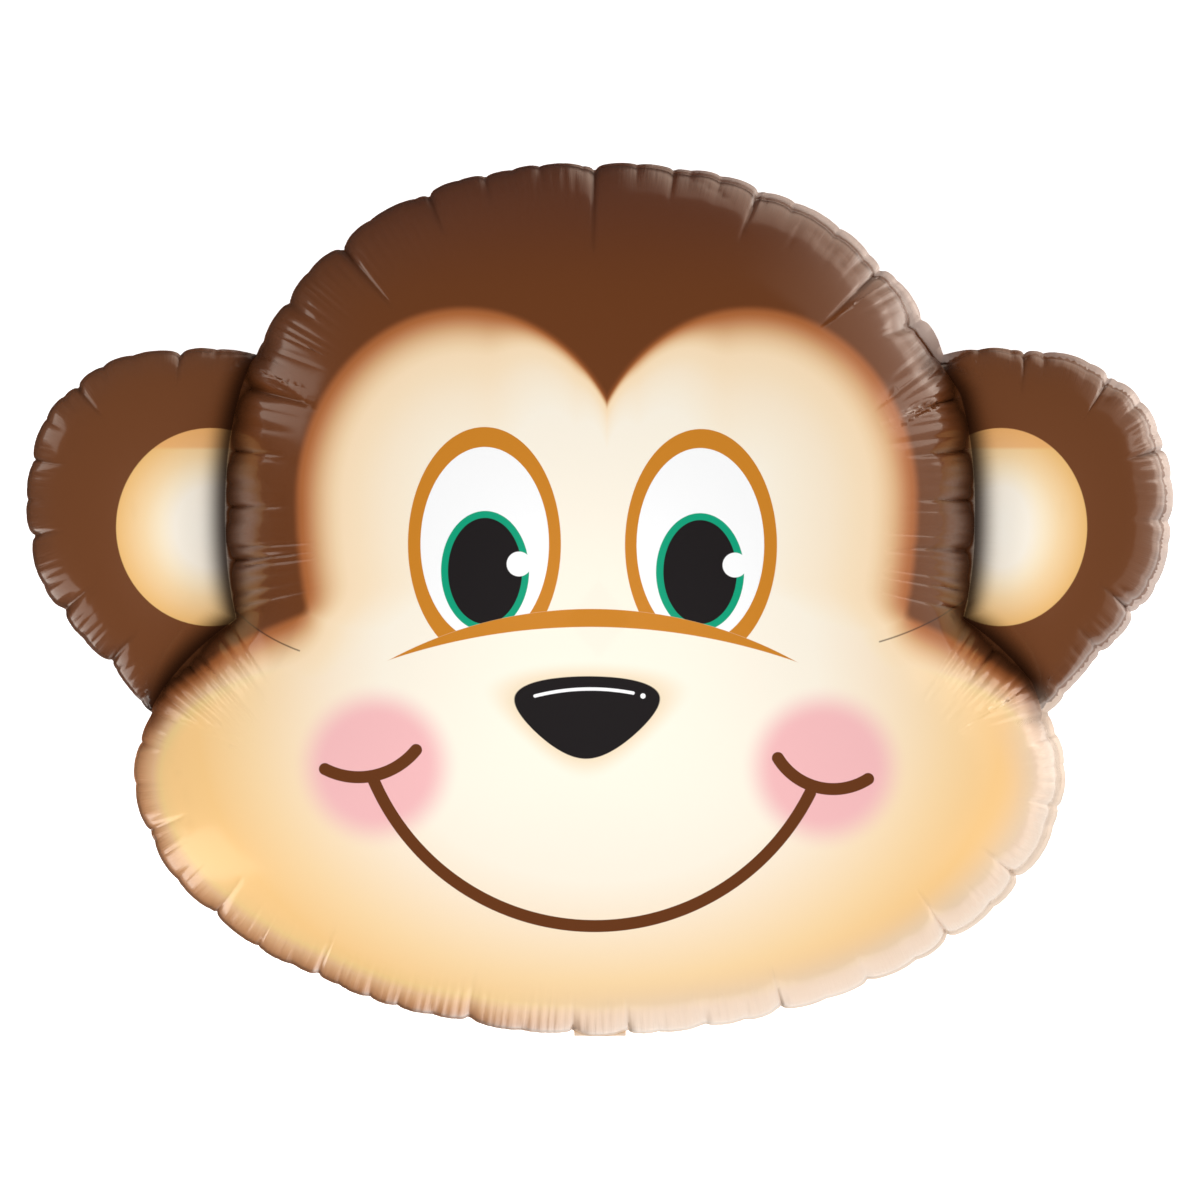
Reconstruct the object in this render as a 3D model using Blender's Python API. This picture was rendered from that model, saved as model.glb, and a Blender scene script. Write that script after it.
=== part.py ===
# Monkey foil balloon, lying on its back with the printed face up. Metres, +Z up.
# +X is to the right of the face as seen, +Y is towards the crown of the head.
# Two flat foil panels are welded round one seam and filled: a head lobe, a jaw lobe and two ears.

import math
import random

import bmesh
import bpy
import numpy as np
from mathutils import Vector
from mathutils.geometry import delaunay_2d_cdt

# Outline of the flat edge: head and jaw are superellipses, each ear is a curve through a few points
HEAD_WIDTH = 0.481
HEAD_HEIGHT = 0.452
HEAD_CENTRE_Y = 0.057
HEAD_SQUARENESS = 2.28
JAW_WIDTH = 0.602
JAW_HEIGHT = 0.334
JAW_CENTRE_Y = -0.114
JAW_SQUARENESS = 1.93
EAR_LENGTH = 0.234
EAR_STANDOFF = 0.023      # middle of the ear, out from the side of the head
EAR_CENTRE_Y = 0.045
# From the foot, inside the jaw, round to the root, inside the head, in shares of the ear's length
EAR_EDGE = ((-0.004, -0.568), (0.115, -0.502), (0.190, -0.415), (0.299, -0.303), (0.397, -0.179),
            (0.447, -0.043), (0.457, 0.098), (0.432, 0.252), (0.354, 0.380), (0.235, 0.465),
            (0.051, 0.504), (-0.160, 0.494), (-0.291, 0.449))

# Filled shape
FRONT_DEPTH = 0.150       # from the seam to the highest point of the face
BACK_DEPTH = 0.150
REST_FLAT_DEPTH = 0.004   # how far the back is pressed flat where it lies
EAR_FOLD_HEIGHT = 0.022   # from the seam to the valley between ear and head

# Seam
FLANGE_WIDTH = 0.005
FLANGE_THICKNESS = 0.0008
SEAM_WAVE = 0.0016        # how far the seam wanders up and down between its pleats

# Filling tail
TAIL_WIDTH = 0.036
TAIL_LENGTH = 0.068
TAIL_THICKNESS = 0.0010
TAIL_BEND_RADIUS = 0.004
TAIL_LEAN = 8             # degrees past straight down, in towards the back

# Pleats where the flat panels are gathered by the filling
SCALLOP_LENGTH = 0.036
SCALLOP_DEPTH = 0.0020
SCALLOP_REACH = 0.016
SCALLOP_BULGE = 0.0008
SCALLOP_VARIETY = 0.16    # how unevenly the scallops follow each other, as a share of their length
PLEAT_HALF_WIDTH = 0.0055
SHOULDER_SHARE = 0.3      # most of a short scallop that one side of its valley may take
CHEEK_FOLD_DEPTH = 0.009  # the fold between head and jaw, from the corner beside each ear
CHEEK_FOLD_REACH = 0.070
TAIL_PLEAT_DEPTH = 0.002
TAIL_PLEAT_REACH = 0.022
NOTCH_RUN = 4             # length over which an ear fold leaves the notch's weld, in flange widths

# Longer pleats: bearing in degrees round the middle of the face or of the ear, reach and depth
PLEATS = {
    "crown": ((41, 0.020, 0.0025), (49.5, 0.036, 0.0042), (68.8, 0.026, 0.0034), (80.3, 0.020, 0.0024),
              (90.7, 0.046, 0.0040), (105.1, 0.020, 0.0026), (112.9, 0.031, 0.0040), (125.8, 0.038, 0.0045),
              (136.4, 0.020, 0.0026)),
    "right crease": ((29.4, 0.034, 0.0036), (22, 0.032, 0.0030), (15, 0.030, 0.0026), (7.5, 0.036, 0.0032),
                     (-6.5, 0.026, 0.0026)),
    "left crease": ((149, 0.043, 0.0042), (158, 0.030, 0.0030), (166, 0.032, 0.0026), (174, 0.038, 0.0034),
                    (188.5, 0.026, 0.0026)),
    "right ear": ((-52.6, 0.018, 0.0030), (-33.6, 0.022, 0.0040), (3, 0.018, 0.0026), (27.3, 0.020, 0.0032),
                  (56.8, 0.025, 0.0040), (85, 0.022, 0.0030)),
    "left ear": ((93.5, 0.018, 0.0028), (128.4, 0.024, 0.0040), (156, 0.018, 0.0026), (182.3, 0.018, 0.0032),
                 (212.5, 0.022, 0.0032), (238, 0.022, 0.0040)),
    "jaw": ((207.1, 0.024, 0.0032), (219.2, 0.026, 0.0032), (233.1, 0.032, 0.0042), (252.6, 0.031, 0.0040),
            (284, 0.018, 0.0024), (293.9, 0.028, 0.0040), (305, 0.020, 0.0026), (315.9, 0.036, 0.0044),
            (326.4, 0.026, 0.0032), (335.8, 0.022, 0.0030)),
}

# Fineness of the mesh
ROW_STEP = 0.0012         # rows of points beside a seam lie at this times 1, 4, 9, 16 and so on
ROWS = 5
LONG_ROWS = 7             # rows beside a long pleat
ROW_CLEARANCE = 0.8       # least gap to any seam for a point of a row, as a share of the row's own gap
GRID_SPACING = 0.025
BEARING_STEPS = 900
REACH_STEPS = 400


def lobe(width, height, y, power):
    return {"half": (width / 2, height / 2), "y": y, "power": power}


BODY = (lobe(HEAD_WIDTH, HEAD_HEIGHT, HEAD_CENTRE_Y, HEAD_SQUARENESS),
        lobe(JAW_WIDTH, JAW_HEIGHT, JAW_CENTRE_Y, JAW_SQUARENESS))


def inside(shape, x, y):
    """Whether points lie in a lobe."""
    u, v = np.abs(x / shape["half"][0]), np.abs((y - shape["y"]) / shape["half"][1])
    return u ** shape["power"] + v ** shape["power"] < 1


def covered(lobes, x, y):
    """Whether points lie in any of some lobes."""
    return np.any([inside(shape, x, y) for shape in lobes], axis=0)


def reach(lobes, bearings):
    """Distance from the middle of the face to the farthest point in any lobe, along each bearing."""
    bearings = np.atleast_1d(bearings)
    cos, sin = np.cos(bearings), np.sin(bearings)
    steps = np.linspace(0, HEAD_WIDTH + JAW_WIDTH, REACH_STEPS)

    hits = covered(lobes, steps[:, None] * cos, steps[:, None] * sin)
    last = np.where(hits.any(axis=0), len(steps) - 1 - np.argmax(hits[::-1], axis=0), 0)
    low, high = steps[last], steps[last] + steps[1]
    for _ in range(24):
        middle = (low + high) / 2
        held = covered(lobes, middle * cos, middle * sin)
        low, high = np.where(held, middle, low), np.where(held, high, middle)
    return low


def crossing(first, second, start, end):
    """Bearing between start and end where the reach of two sets of lobes is the same."""
    sign = reach(first, start)[0] > reach(second, start)[0]
    for _ in range(30):
        middle = (start + end) / 2
        if (reach(first, middle)[0] > reach(second, middle)[0]) == sign:
            start = middle
        else:
            end = middle
    return (start + end) / 2


def measured(points, bearings):
    """A dense run of points with the bearing and the arc length of each."""
    arc = np.concatenate(([0], np.cumsum(np.linalg.norm(np.diff(points, axis=0), axis=1))))
    return {"points": points, "bearings": bearings, "arc": arc}


def body_path(start, end):
    bearings = np.linspace(start, end, BEARING_STEPS)
    r = reach(BODY, bearings)
    return measured(np.column_stack((r * np.cos(bearings), r * np.sin(bearings))), bearings)


def smooth_through(knots, steps):
    """Points of a Catmull-Rom curve through all the knots."""
    knots = np.vstack((2 * knots[0] - knots[1], knots, 2 * knots[-1] - knots[-2]))
    t = np.linspace(0, 1, steps, endpoint=False)[:, None]
    runs = []
    for before, first, last, after in zip(knots, knots[1:], knots[2:], knots[3:]):
        square = 2 * before - 5 * first + 4 * last - after
        cube = 3 * first - before - 3 * last + after
        bend = square * t ** 2 + cube * t ** 3
        runs.append(first + ((last - before) * t + bend) / 2)
    return np.concatenate(runs + [knots[-2:-1]])


def right_ear_path():
    """Edge of the right ear outside the head and jaw, anticlockwise from its lower notch."""
    middle = np.array((HEAD_WIDTH / 2 + EAR_STANDOFF, EAR_CENTRE_Y))
    points = middle + EAR_LENGTH * smooth_through(np.array(EAR_EDGE), 80)
    outside = np.flatnonzero(~covered(BODY, points[:, 0], points[:, 1]))
    notches = []
    for free, held in ((outside[0], outside[0] - 1), (outside[-1], outside[-1] + 1)):
        clear, sunk = points[free], points[held]
        for _ in range(30):
            between = (clear + sunk) / 2
            clear, sunk = (clear, between) if covered(BODY, *between) else (between, sunk)
        notches.append(clear)
    points = np.vstack((notches[0], points[outside[0]:outside[-1] + 1], notches[1]))
    from_middle = points - middle
    return measured(points, np.unwrap(np.arctan2(from_middle[:, 1], from_middle[:, 0])))


def mirrored(path):
    return measured((path["points"] * (-1, 1))[::-1], math.pi - path["bearings"][::-1])


def scallop_stations(path, pleats, rng):
    """Places along a path: a valley at each pleat, two shoulders and a crown between."""
    marks = [(0.0, 0.0, 0.0)]
    for bearing, length, depth in sorted(pleats):
        marks.append((np.interp(math.radians(bearing), path["bearings"], path["arc"]), length, depth))
    marks.append((path["arc"][-1], 0.0, 0.0))

    stations = []
    for (start, length, depth), (end, _, _) in zip(marks, marks[1:]):
        count = max(1, round((end - start) / SCALLOP_LENGTH))
        size = (end - start) / count
        wander = [rng.uniform(-SCALLOP_VARIETY, SCALLOP_VARIETY) * size for _ in range(count - 1)]
        wander = [0] + wander + [0]
        for k in range(count):
            first, last = start + k * size + wander[k], start + (k + 1) * size + wander[k + 1]
            if k:
                length, depth = SCALLOP_REACH * rng.uniform(0.7, 1.2), SCALLOP_DEPTH * rng.uniform(0.7, 1.3)
            shoulder = min(PLEAT_HALF_WIDTH, SHOULDER_SHARE * (last - first))
            wave = SEAM_WAVE * rng.choice((-1, 1))
            stations.append({"arc": first, "length": length, "depth": depth, "wave": 0.0})
            stations.append({"arc": first + shoulder, "length": 0, "depth": 0, "wave": wave / 2})
            stations.append({"arc": (first + last) / 2, "length": SCALLOP_REACH, "depth": -SCALLOP_BULGE,
                             "wave": wave})
            stations.append({"arc": last - shoulder, "length": 0, "depth": 0, "wave": wave / 2})
    return stations


def lay_out_span(path, pleats, rng):
    """Stations of one stretch of edge or crease, with their points."""
    stations = scallop_stations(path, pleats, rng)
    for place in stations:
        place["point"] = np.array([np.interp(place["arc"], path["arc"], path["points"][:, axis])
                                   for axis in (0, 1)])
    return stations


def lay_out_crease(start, end, pleats, rng):
    """The fold between ear and head, which starts at the weld inside each notch."""
    path = body_path(start, end)
    stations = lay_out_span(path, pleats, rng)
    run = np.gradient(path["points"], axis=0)
    run /= np.linalg.norm(run, axis=1)[:, None]
    for place in stations[1:]:
        along = [np.interp(place["arc"], path["arc"], run[:, axis]) for axis in (0, 1)]
        from_notch = min(place["arc"], path["arc"][-1] - place["arc"])
        sunk = FLANGE_WIDTH * max(0, 1 - from_notch / (NOTCH_RUN * FLANGE_WIDTH))
        place["point"] = place["point"] + sunk * np.array((-along[1], along[0]))
    return stations


def normals_of(points):
    """Points of an anticlockwise loop as an array, and the inward normal at each."""
    points = np.array(points)
    along = np.roll(points, -1, axis=0) - points
    along /= np.linalg.norm(along, axis=1)[:, None]
    mean = along + np.roll(along, 1, axis=0)
    mean /= np.linalg.norm(mean, axis=1)[:, None]
    return points, np.column_stack((-mean[:, 1], mean[:, 0]))


def distance_to_segments(point, starts, ends):
    along = ends - starts
    share = np.clip(((point - starts) * along).sum(1) / (along ** 2).sum(1), 0, 1)
    return np.linalg.norm(starts + along * share[:, None] - point, axis=1).min()


def fill_height(points, triangles, fixed, fixed_value):
    """Solve the soap film over the flat panel, then take the height that the filling gives it."""
    count = len(points)
    stiffness, load = np.zeros((count, count)), np.zeros(count)
    corner = points[triangles]
    edge = np.roll(corner, -2, axis=1) - np.roll(corner, -1, axis=1)
    area = np.abs(edge[:, 0, 0] * edge[:, 1, 1] - edge[:, 0, 1] * edge[:, 1, 0]) / 2
    for a in range(3):
        np.add.at(load, triangles[:, a], area / 3)
        for b in range(3):
            share = (edge[:, a] * edge[:, b]).sum(1) / (4 * area)
            np.add.at(stiffness, (triangles[:, a], triangles[:, b]), share)
    free = ~fixed
    inner = stiffness[np.ix_(free, free)]
    film, pull = np.zeros(count), fixed_value.copy()
    film[free] = np.linalg.solve(inner, load[free])
    pull[free] = np.linalg.solve(inner, -stiffness[np.ix_(free, fixed)] @ fixed_value[fixed])
    whole = film / film.max() + pull
    return np.sqrt(np.clip(whole / whole.max(), 0, None))


def surface_normals(points, height, triangles):
    """Unit normals of the front sheet at its points."""
    corner = np.column_stack((points, height))[triangles]
    across = np.cross(corner[:, 1] - corner[:, 0], corner[:, 2] - corner[:, 0])
    across *= np.sign(across[:, 2])[:, None]
    normals = np.zeros((len(points), 3))
    for a in range(3):
        np.add.at(normals, triangles[:, a], across)
    return normals / np.linalg.norm(normals, axis=1)[:, None]


def lay_out_panel():
    """The seam, the ear creases and the flat points of one panel."""
    rng = random.Random(7)
    ear = right_ear_path()
    low, high = (math.atan2(*ear["points"][k][::-1]) for k in (0, -1))
    corner = math.degrees(crossing(BODY[:1], BODY[1:], math.radians(-25), math.radians(10)))
    half_tail = math.degrees(math.atan(TAIL_WIDTH / 2 / reach(BODY, -math.pi / 2)[0]))
    tail = tuple((270 + side * half_tail, TAIL_PLEAT_REACH, TAIL_PLEAT_DEPTH) for side in (-1, 1))
    right, left = (PLEATS[side + " crease"] + ((bearing, CHEEK_FOLD_REACH, CHEEK_FOLD_DEPTH),)
                   for side, bearing in (("right", corner), ("left", 180 - corner)))

    return {
        "right crease": lay_out_crease(low, high, right, rng),
        "crown": lay_out_span(body_path(high, math.pi - high), PLEATS["crown"], rng),
        "left crease": lay_out_crease(math.pi - high, math.pi - low, left, rng),
        "jaw": lay_out_span(body_path(math.pi - low, math.tau + low), PLEATS["jaw"] + tail, rng),
        "right ear": lay_out_span(ear, PLEATS["right ear"], rng),
        "left ear": lay_out_span(mirrored(ear), PLEATS["left ear"], rng),
    }


def build_panel(spans):
    """Flat points of one panel, its triangles and how far each point is drawn in by its pleat."""
    base, numbers = [], {}
    for name, stations in spans.items():
        numbers[name] = list(range(len(base), len(base) + len(stations)))
        base += stations

    right, left = numbers["right crease"], numbers["left crease"]
    crown, jaw = numbers["crown"], numbers["jaw"]
    unused = {numbers["right ear"][0], numbers["left ear"][0]}
    right_edge = right[:1] + numbers["right ear"][1:] + crown[:1]
    left_edge = left[:1] + numbers["left ear"][1:] + jaw[:1]
    body_loop = right + crown + left + jaw
    right_loop, left_loop = right_edge + right[:0:-1], left_edge + left[:0:-1]
    rim = right_edge[:-1] + crown + left_edge[:-1] + jaw
    creased = right[1:] + left[1:]

    edge, inward = normals_of([base[number]["point"] for number in rim])
    for number, place, normal in zip(rim, edge, inward):
        base[number]["point"] = place + normal * FLANGE_WIDTH

    points = [place["point"] for place in base]
    draw = [place["depth"] for place in base]
    wave = [place["wave"] for place in base]
    for number in creased:
        draw[number] = 0.0

    edges = set()
    for loop in (body_loop, right_loop, left_loop):
        for a, b in zip(loop, loop[1:] + loop[:1]):
            edges.add((min(a, b), max(a, b)))
    edges = sorted(edges)
    starts = np.array([points[a] for a, _ in edges])
    ends = np.array([points[b] for _, b in edges])

    def clear_of(point, gap):
        near = np.array([p for k, p in enumerate(points) if k not in unused])
        return np.linalg.norm(near - point, axis=1).min() > gap

    for loop, on_body in ((body_loop, True), (right_loop, False), (left_loop, False)):
        loop_points, inward = normals_of([base[number]["point"] for number in loop])
        for row in range(1, LONG_ROWS + 1):
            gap, last_gap = ROW_STEP * row ** 2, ROW_STEP * (row - 1) ** 2
            for place, (number, point, normal) in enumerate(zip(loop, loop_points, inward)):
                beside = [base[loop[place - 1]]["length"], base[loop[(place + 1) % len(loop)]]["length"]]
                if row > ROWS and max(beside + [base[number]["length"]]) < gap:
                    continue
                at = point + normal * gap
                if covered(BODY, *at) != on_body:
                    continue
                if distance_to_segments(at, starts, ends) < ROW_CLEARANCE * gap:
                    continue
                if not clear_of(at, (gap - last_gap) / 2):
                    continue
                length = base[number]["length"]
                own = on_body or number not in creased
                fade = max(0.0, 1 - gap / length) if length and own else 0.0
                points.append(at)
                draw.append(base[number]["depth"] * fade)
                wave.append(0.0)

    rows_end = ROW_STEP * ROWS ** 2
    span_x, span_y = np.abs(starts).max(axis=0)
    for j in range(-int(span_y / GRID_SPACING) - 1, int(span_y / GRID_SPACING) + 2):
        for i in range(-int(span_x / GRID_SPACING) - 1, int(span_x / GRID_SPACING) + 2):
            at = np.array([(i + 0.5 * (j % 2)) * GRID_SPACING, j * GRID_SPACING * math.sqrt(3) / 2])
            inner = distance_to_segments(at, starts, ends) > rows_end + GRID_SPACING / 3
            if inner and clear_of(at, GRID_SPACING / 2):
                points.append(at)
                draw.append(0.0)
                wave.append(0.0)

    filled = [k for k in range(len(points)) if k not in unused]
    order_in = {old: new for new, old in enumerate(filled)}
    constraint = [(order_in[a], order_in[b]) for a, b in edges]
    result = delaunay_2d_cdt([Vector(points[k]) for k in filled], constraint, [], 1, 1e-7)
    faces = np.array([[filled[result[3][corner][0]] for corner in face] for face in result[2]])
    used = sorted(set(faces.ravel()))
    renumber = {old: new for new, old in enumerate(used)}
    return {"points": np.array([points[k] for k in used]), "draw": np.array([draw[k] for k in used]),
            "wave": np.array([wave[k] for k in used]), "triangles": np.searchsorted(used, faces),
            "seam": [renumber[k] for k in rim], "edge": edge,
            "creases": [[renumber[k] for k in run[1:]] for run in (right, left)]}


def raise_panel(panel):
    """Height of the filled front above the seam, with the pleats drawn in."""
    points, triangles = panel["points"], panel["triangles"]
    fixed = np.zeros(len(points), bool)
    fixed[panel["seam"]] = True
    fixed_value = np.zeros(len(points))
    for crease in panel["creases"]:
        fixed[crease] = True
        share = np.arange(1, len(crease) + 1) / (len(crease) + 1)
        fixed_value[crease] = (EAR_FOLD_HEIGHT / FRONT_DEPTH) ** 2 * np.sin(math.pi * share)
    height = FRONT_DEPTH * fill_height(points, triangles, fixed, fixed_value)

    normals = surface_normals(points, height, triangles)
    _, inward = normals_of(points[panel["seam"]])
    normals[panel["seam"]] = np.column_stack((-inward, np.zeros(len(inward))))
    sunk = np.column_stack((points, height)) - normals * panel["draw"][:, None]
    return sunk, inward


def build_balloon():
    spans = lay_out_panel()
    panel = build_panel(spans)
    sheet, inward = raise_panel(panel)
    seam, wave = panel["seam"], panel["wave"]
    is_seam = np.zeros(len(sheet), bool)
    is_seam[seam] = True
    half = FLANGE_THICKNESS / 2

    front, back = sheet.copy(), sheet.copy()
    back[:, 2] *= -BACK_DEPTH / FRONT_DEPTH
    back[:, 2] = np.maximum(back[:, 2], REST_FLAT_DEPTH - BACK_DEPTH)
    front[is_seam, 2], back[is_seam, 2] = wave[is_seam] + half, wave[is_seam] - half

    edge = panel["edge"] + inward * panel["draw"][seam][:, None]
    top_edge = np.column_stack((edge, wave[seam] + half))
    low_edge = np.column_stack((edge, wave[seam] - half))

    mesh = bmesh.new()

    def add(rows):
        return [mesh.verts.new(tuple(row)) for row in rows]

    front_verts, back_verts = add(front), add(back)
    top_verts, low_verts = add(top_edge), add(low_edge)
    for a, b, c in panel["triangles"]:
        mesh.faces.new((front_verts[a], front_verts[b], front_verts[c]))
        mesh.faces.new((back_verts[a], back_verts[c], back_verts[b]))

    at_tail = (np.abs(edge[:, 0]) < TAIL_WIDTH / 2 + FLANGE_THICKNESS / 2) & (edge[:, 1] < 0)
    for k, number in enumerate(seam):
        after = (k + 1) % len(seam)
        following = seam[after]
        mesh.faces.new((front_verts[number], front_verts[following], top_verts[after], top_verts[k]))
        mesh.faces.new((back_verts[number], low_verts[k], low_verts[after], back_verts[following]))
        if not (at_tail[k] and at_tail[after]):
            mesh.faces.new((top_verts[k], top_verts[after], low_verts[after], low_verts[k]))
    tail_sides = add_tail(mesh, [k for k in range(len(seam)) if at_tail[k]], top_verts, low_verts, add)

    bmesh.ops.recalc_face_normals(mesh, faces=mesh.faces)
    flat = [face for face in mesh.faces
            if all(abs(vert.co.z - (REST_FLAT_DEPTH - BACK_DEPTH)) < 1e-7 for vert in face.verts)]
    for region in [flat] + tail_sides:
        bmesh.ops.dissolve_faces(mesh, faces=region, use_verts=True)
    return mesh


def add_tail(mesh, places, top_verts, low_verts, add):
    """Two welded films that bend down from the bottom of the seam and hang flat behind it."""
    swing = math.radians(90 + TAIL_LEAN)
    turns = [swing * k / 5 for k in range(1, 6)]
    bend = [(-TAIL_BEND_RADIUS * math.sin(a), -TAIL_BEND_RADIUS * (1 - math.cos(a)), a) for a in turns]
    straight = TAIL_LENGTH - TAIL_BEND_RADIUS * swing
    last_y, last_z, _ = bend[-1]
    across, down = math.cos(swing) * straight, math.sin(swing) * straight
    hang = [(last_y - across * share, last_z - down * share, swing) for share in (0.25, 0.5, 0.75, 1.0)]
    upper, lower = [top_verts[k] for k in places], [low_verts[k] for k in places]
    base = [(up.co + low.co) / 2 for up, low in zip(upper, lower)]
    level = sum(base, Vector()) / len(base)
    faces = {"behind": [], "in front": []}
    for row, (y, z, angle) in enumerate(bend + hang, 1):
        out = Vector((0, -math.sin(angle), math.cos(angle))) * TAIL_THICKNESS / 2
        straightened = min(1, row / len(bend))
        levelled = [point.lerp(Vector((point.x, level.y, level.z)), straightened) for point in base]
        centre = [point + Vector((0, y, z)) for point in levelled]
        next_upper, next_lower = add([p + out for p in centre]), add([p - out for p in centre])
        for k in range(len(places) - 1):
            outer = mesh.faces.new((upper[k], upper[k + 1], next_upper[k + 1], next_upper[k]))
            inner = mesh.faces.new((lower[k], next_lower[k], next_lower[k + 1], lower[k + 1]))
            if row > len(bend):
                faces["in front"].append(outer)
                faces["behind"].append(inner)
        for k in (0, -1):
            mesh.faces.new((upper[k], next_upper[k], next_lower[k], lower[k]))
        upper, lower = next_upper, next_lower
    for k in range(len(places) - 1):
        mesh.faces.new((upper[k], upper[k + 1], lower[k + 1], lower[k]))
    return list(faces.values())


def printed_foil():
    material = bpy.data.materials.new("printed polyester foil")
    material.use_nodes = True
    shader = material.node_tree.nodes["Principled BSDF"]
    shader.inputs["Base Color"].default_value = (0.125, 0.035, 0.014, 1)
    shader.inputs["Metallic"].default_value = 0.15
    shader.inputs["Roughness"].default_value = 0.28
    return material


def main():
    for item in list(bpy.data.objects):
        bpy.data.objects.remove(item, do_unlink=True)
    balloon = build_balloon()
    lows = [min(vert.co[axis] for vert in balloon.verts) for axis in range(3)]
    highs = [max(vert.co[axis] for vert in balloon.verts) for axis in range(3)]
    middle = Vector(((lows[0] + highs[0]) / 2, (lows[1] + highs[1]) / 2, lows[2]))
    bmesh.ops.translate(balloon, verts=balloon.verts, vec=-middle)

    data = bpy.data.meshes.new("foil_balloon")
    balloon.to_mesh(data)
    balloon.free()
    data.shade_smooth()
    data.set_sharp_from_angle(angle=math.radians(50))
    data.materials.append(printed_foil())
    bpy.context.scene.collection.objects.link(bpy.data.objects.new("foil_balloon", data))
    print("foil_balloon triangles:", sum(len(face.vertices) - 2 for face in data.polygons))


main()
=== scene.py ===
# A filled foil balloon in the shape of a monkey's head, lying on its back, face up. Metres.
# Seen from above: +X is right, +Y is towards the crown, and the welded seam lies level.
import math
import random
from functools import partial

import bpy
import numpy as np
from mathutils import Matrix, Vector
from mathutils.geometry import delaunay_2d_cdt
from mathutils.kdtree import KDTree


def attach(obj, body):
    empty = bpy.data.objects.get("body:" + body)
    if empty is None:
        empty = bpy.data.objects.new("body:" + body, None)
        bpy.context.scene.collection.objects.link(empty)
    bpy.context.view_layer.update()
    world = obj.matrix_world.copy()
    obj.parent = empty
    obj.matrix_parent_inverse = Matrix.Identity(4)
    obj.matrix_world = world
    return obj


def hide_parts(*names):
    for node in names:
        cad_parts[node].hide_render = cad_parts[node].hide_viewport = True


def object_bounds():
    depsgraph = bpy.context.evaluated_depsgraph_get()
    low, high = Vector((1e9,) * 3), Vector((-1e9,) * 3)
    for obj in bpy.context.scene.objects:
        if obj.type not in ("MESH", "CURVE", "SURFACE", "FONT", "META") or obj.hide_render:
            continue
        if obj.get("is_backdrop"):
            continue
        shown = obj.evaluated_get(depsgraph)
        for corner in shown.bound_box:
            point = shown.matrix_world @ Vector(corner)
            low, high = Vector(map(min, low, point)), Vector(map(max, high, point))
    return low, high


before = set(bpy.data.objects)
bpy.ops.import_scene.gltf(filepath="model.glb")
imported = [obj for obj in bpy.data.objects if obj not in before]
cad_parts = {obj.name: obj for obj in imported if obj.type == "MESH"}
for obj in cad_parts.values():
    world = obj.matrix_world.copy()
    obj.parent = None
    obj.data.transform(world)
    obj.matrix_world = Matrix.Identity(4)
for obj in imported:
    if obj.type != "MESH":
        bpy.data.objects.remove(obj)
cadLow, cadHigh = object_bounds()
print("frame loaded")

outline = {
    "headWidth": 0.481, "headHeight": 0.452, "headY": 0.057, "headSquareness": 2.28,
    "jawWidth": 0.602, "jawHeight": 0.334, "jawY": -0.114, "jawSquareness": 1.93,
    "earLength": 0.234, "earStandoff": 0.023, "earY": 0.045,
    # the ear's edge from its foot round to its root, in shares of its length from its middle
    "earEdge": ((-0.004, -0.568), (0.115, -0.502), (0.190, -0.415), (0.299, -0.303), (0.397, -0.179),
                (0.447, -0.043), (0.457, 0.098), (0.432, 0.252), (0.354, 0.380), (0.235, 0.465),
                (0.051, 0.504), (-0.160, 0.494), (-0.291, 0.449)),
    "pathPoints": 3000, "earPoints": 200,  # points along the body's path, and between two of the ear's edge
}

envelope = {
    "depth": 0.150,            # seam to the top of the face, and to the back before it is pressed flat
    "restFlat": 0.004,
    "earFold": 0.022,          # how high the film stands over the seam where ear and head meet
    "stationStep": 0.0014,     # distance between points along the seam
    "fineRows": (0.0004, 0.0014, 0.0030, 0.0051, 0.0078, 0.0108, 0.0140, 0.0175, 0.0213, 0.0254, 0.0298,
                 0.0345, 0.0395, 0.0450, 0.0510, 0.0575),  # rows of points, by distance from the seam
    "rowCrowding": 0.86,       # how near to another stretch's seam a row may come, as a share of its distance
    "gridStep": 0.0072, "gridRows": 45, "gridColumns": 60,
}

weld = {
    "thickness": 0.0008,
    "open": 0.0062,            # width of the flat welded edge where it lies open, on the right of the face
    "tucked": 0.0014,          # what shows of it from above where it is tucked down, on the left
    "opensToward": 12,         # degrees
    "openFrom": 0.15, "openOver": 0.55,  # how much it must face that way to begin to open, and to lie open
    "blend": 25,               # points along the seam that the change is spread over
    "notchBearing": 36, "notchHalf": 12, "notchExtra": 0.0068,  # wider in the upper right notch
    "droop": 0.8, "middleDroop": 0.42,   # how far the edge hangs down, and its middle row as a share of that
    "drawnIn": 0.9,            # share of a pleat's depth that reaches the cut edge
    "wander": ((0.061, 0.0009), (0.037, 0.0008), (0.0229, 0.0005)),  # lengths and heights of its waves
    "ruffle": ((0.047, 0.0007), (0.019, 0.0004), (0.0093, 0.0002)),
    "wanderReach": 0.012, "wanderFade": 0.004,
}

tail = {"halfWidth": 0.018, "length": 0.068, "bend": 0.0006, "bendRows": 8, "lean": 8, "thickness": 0.0010,
        "rows": 26, "curl": 0.0006, "curlRows": 12, "fromWeld": -0.02, "fromFold": -0.3}

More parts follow.
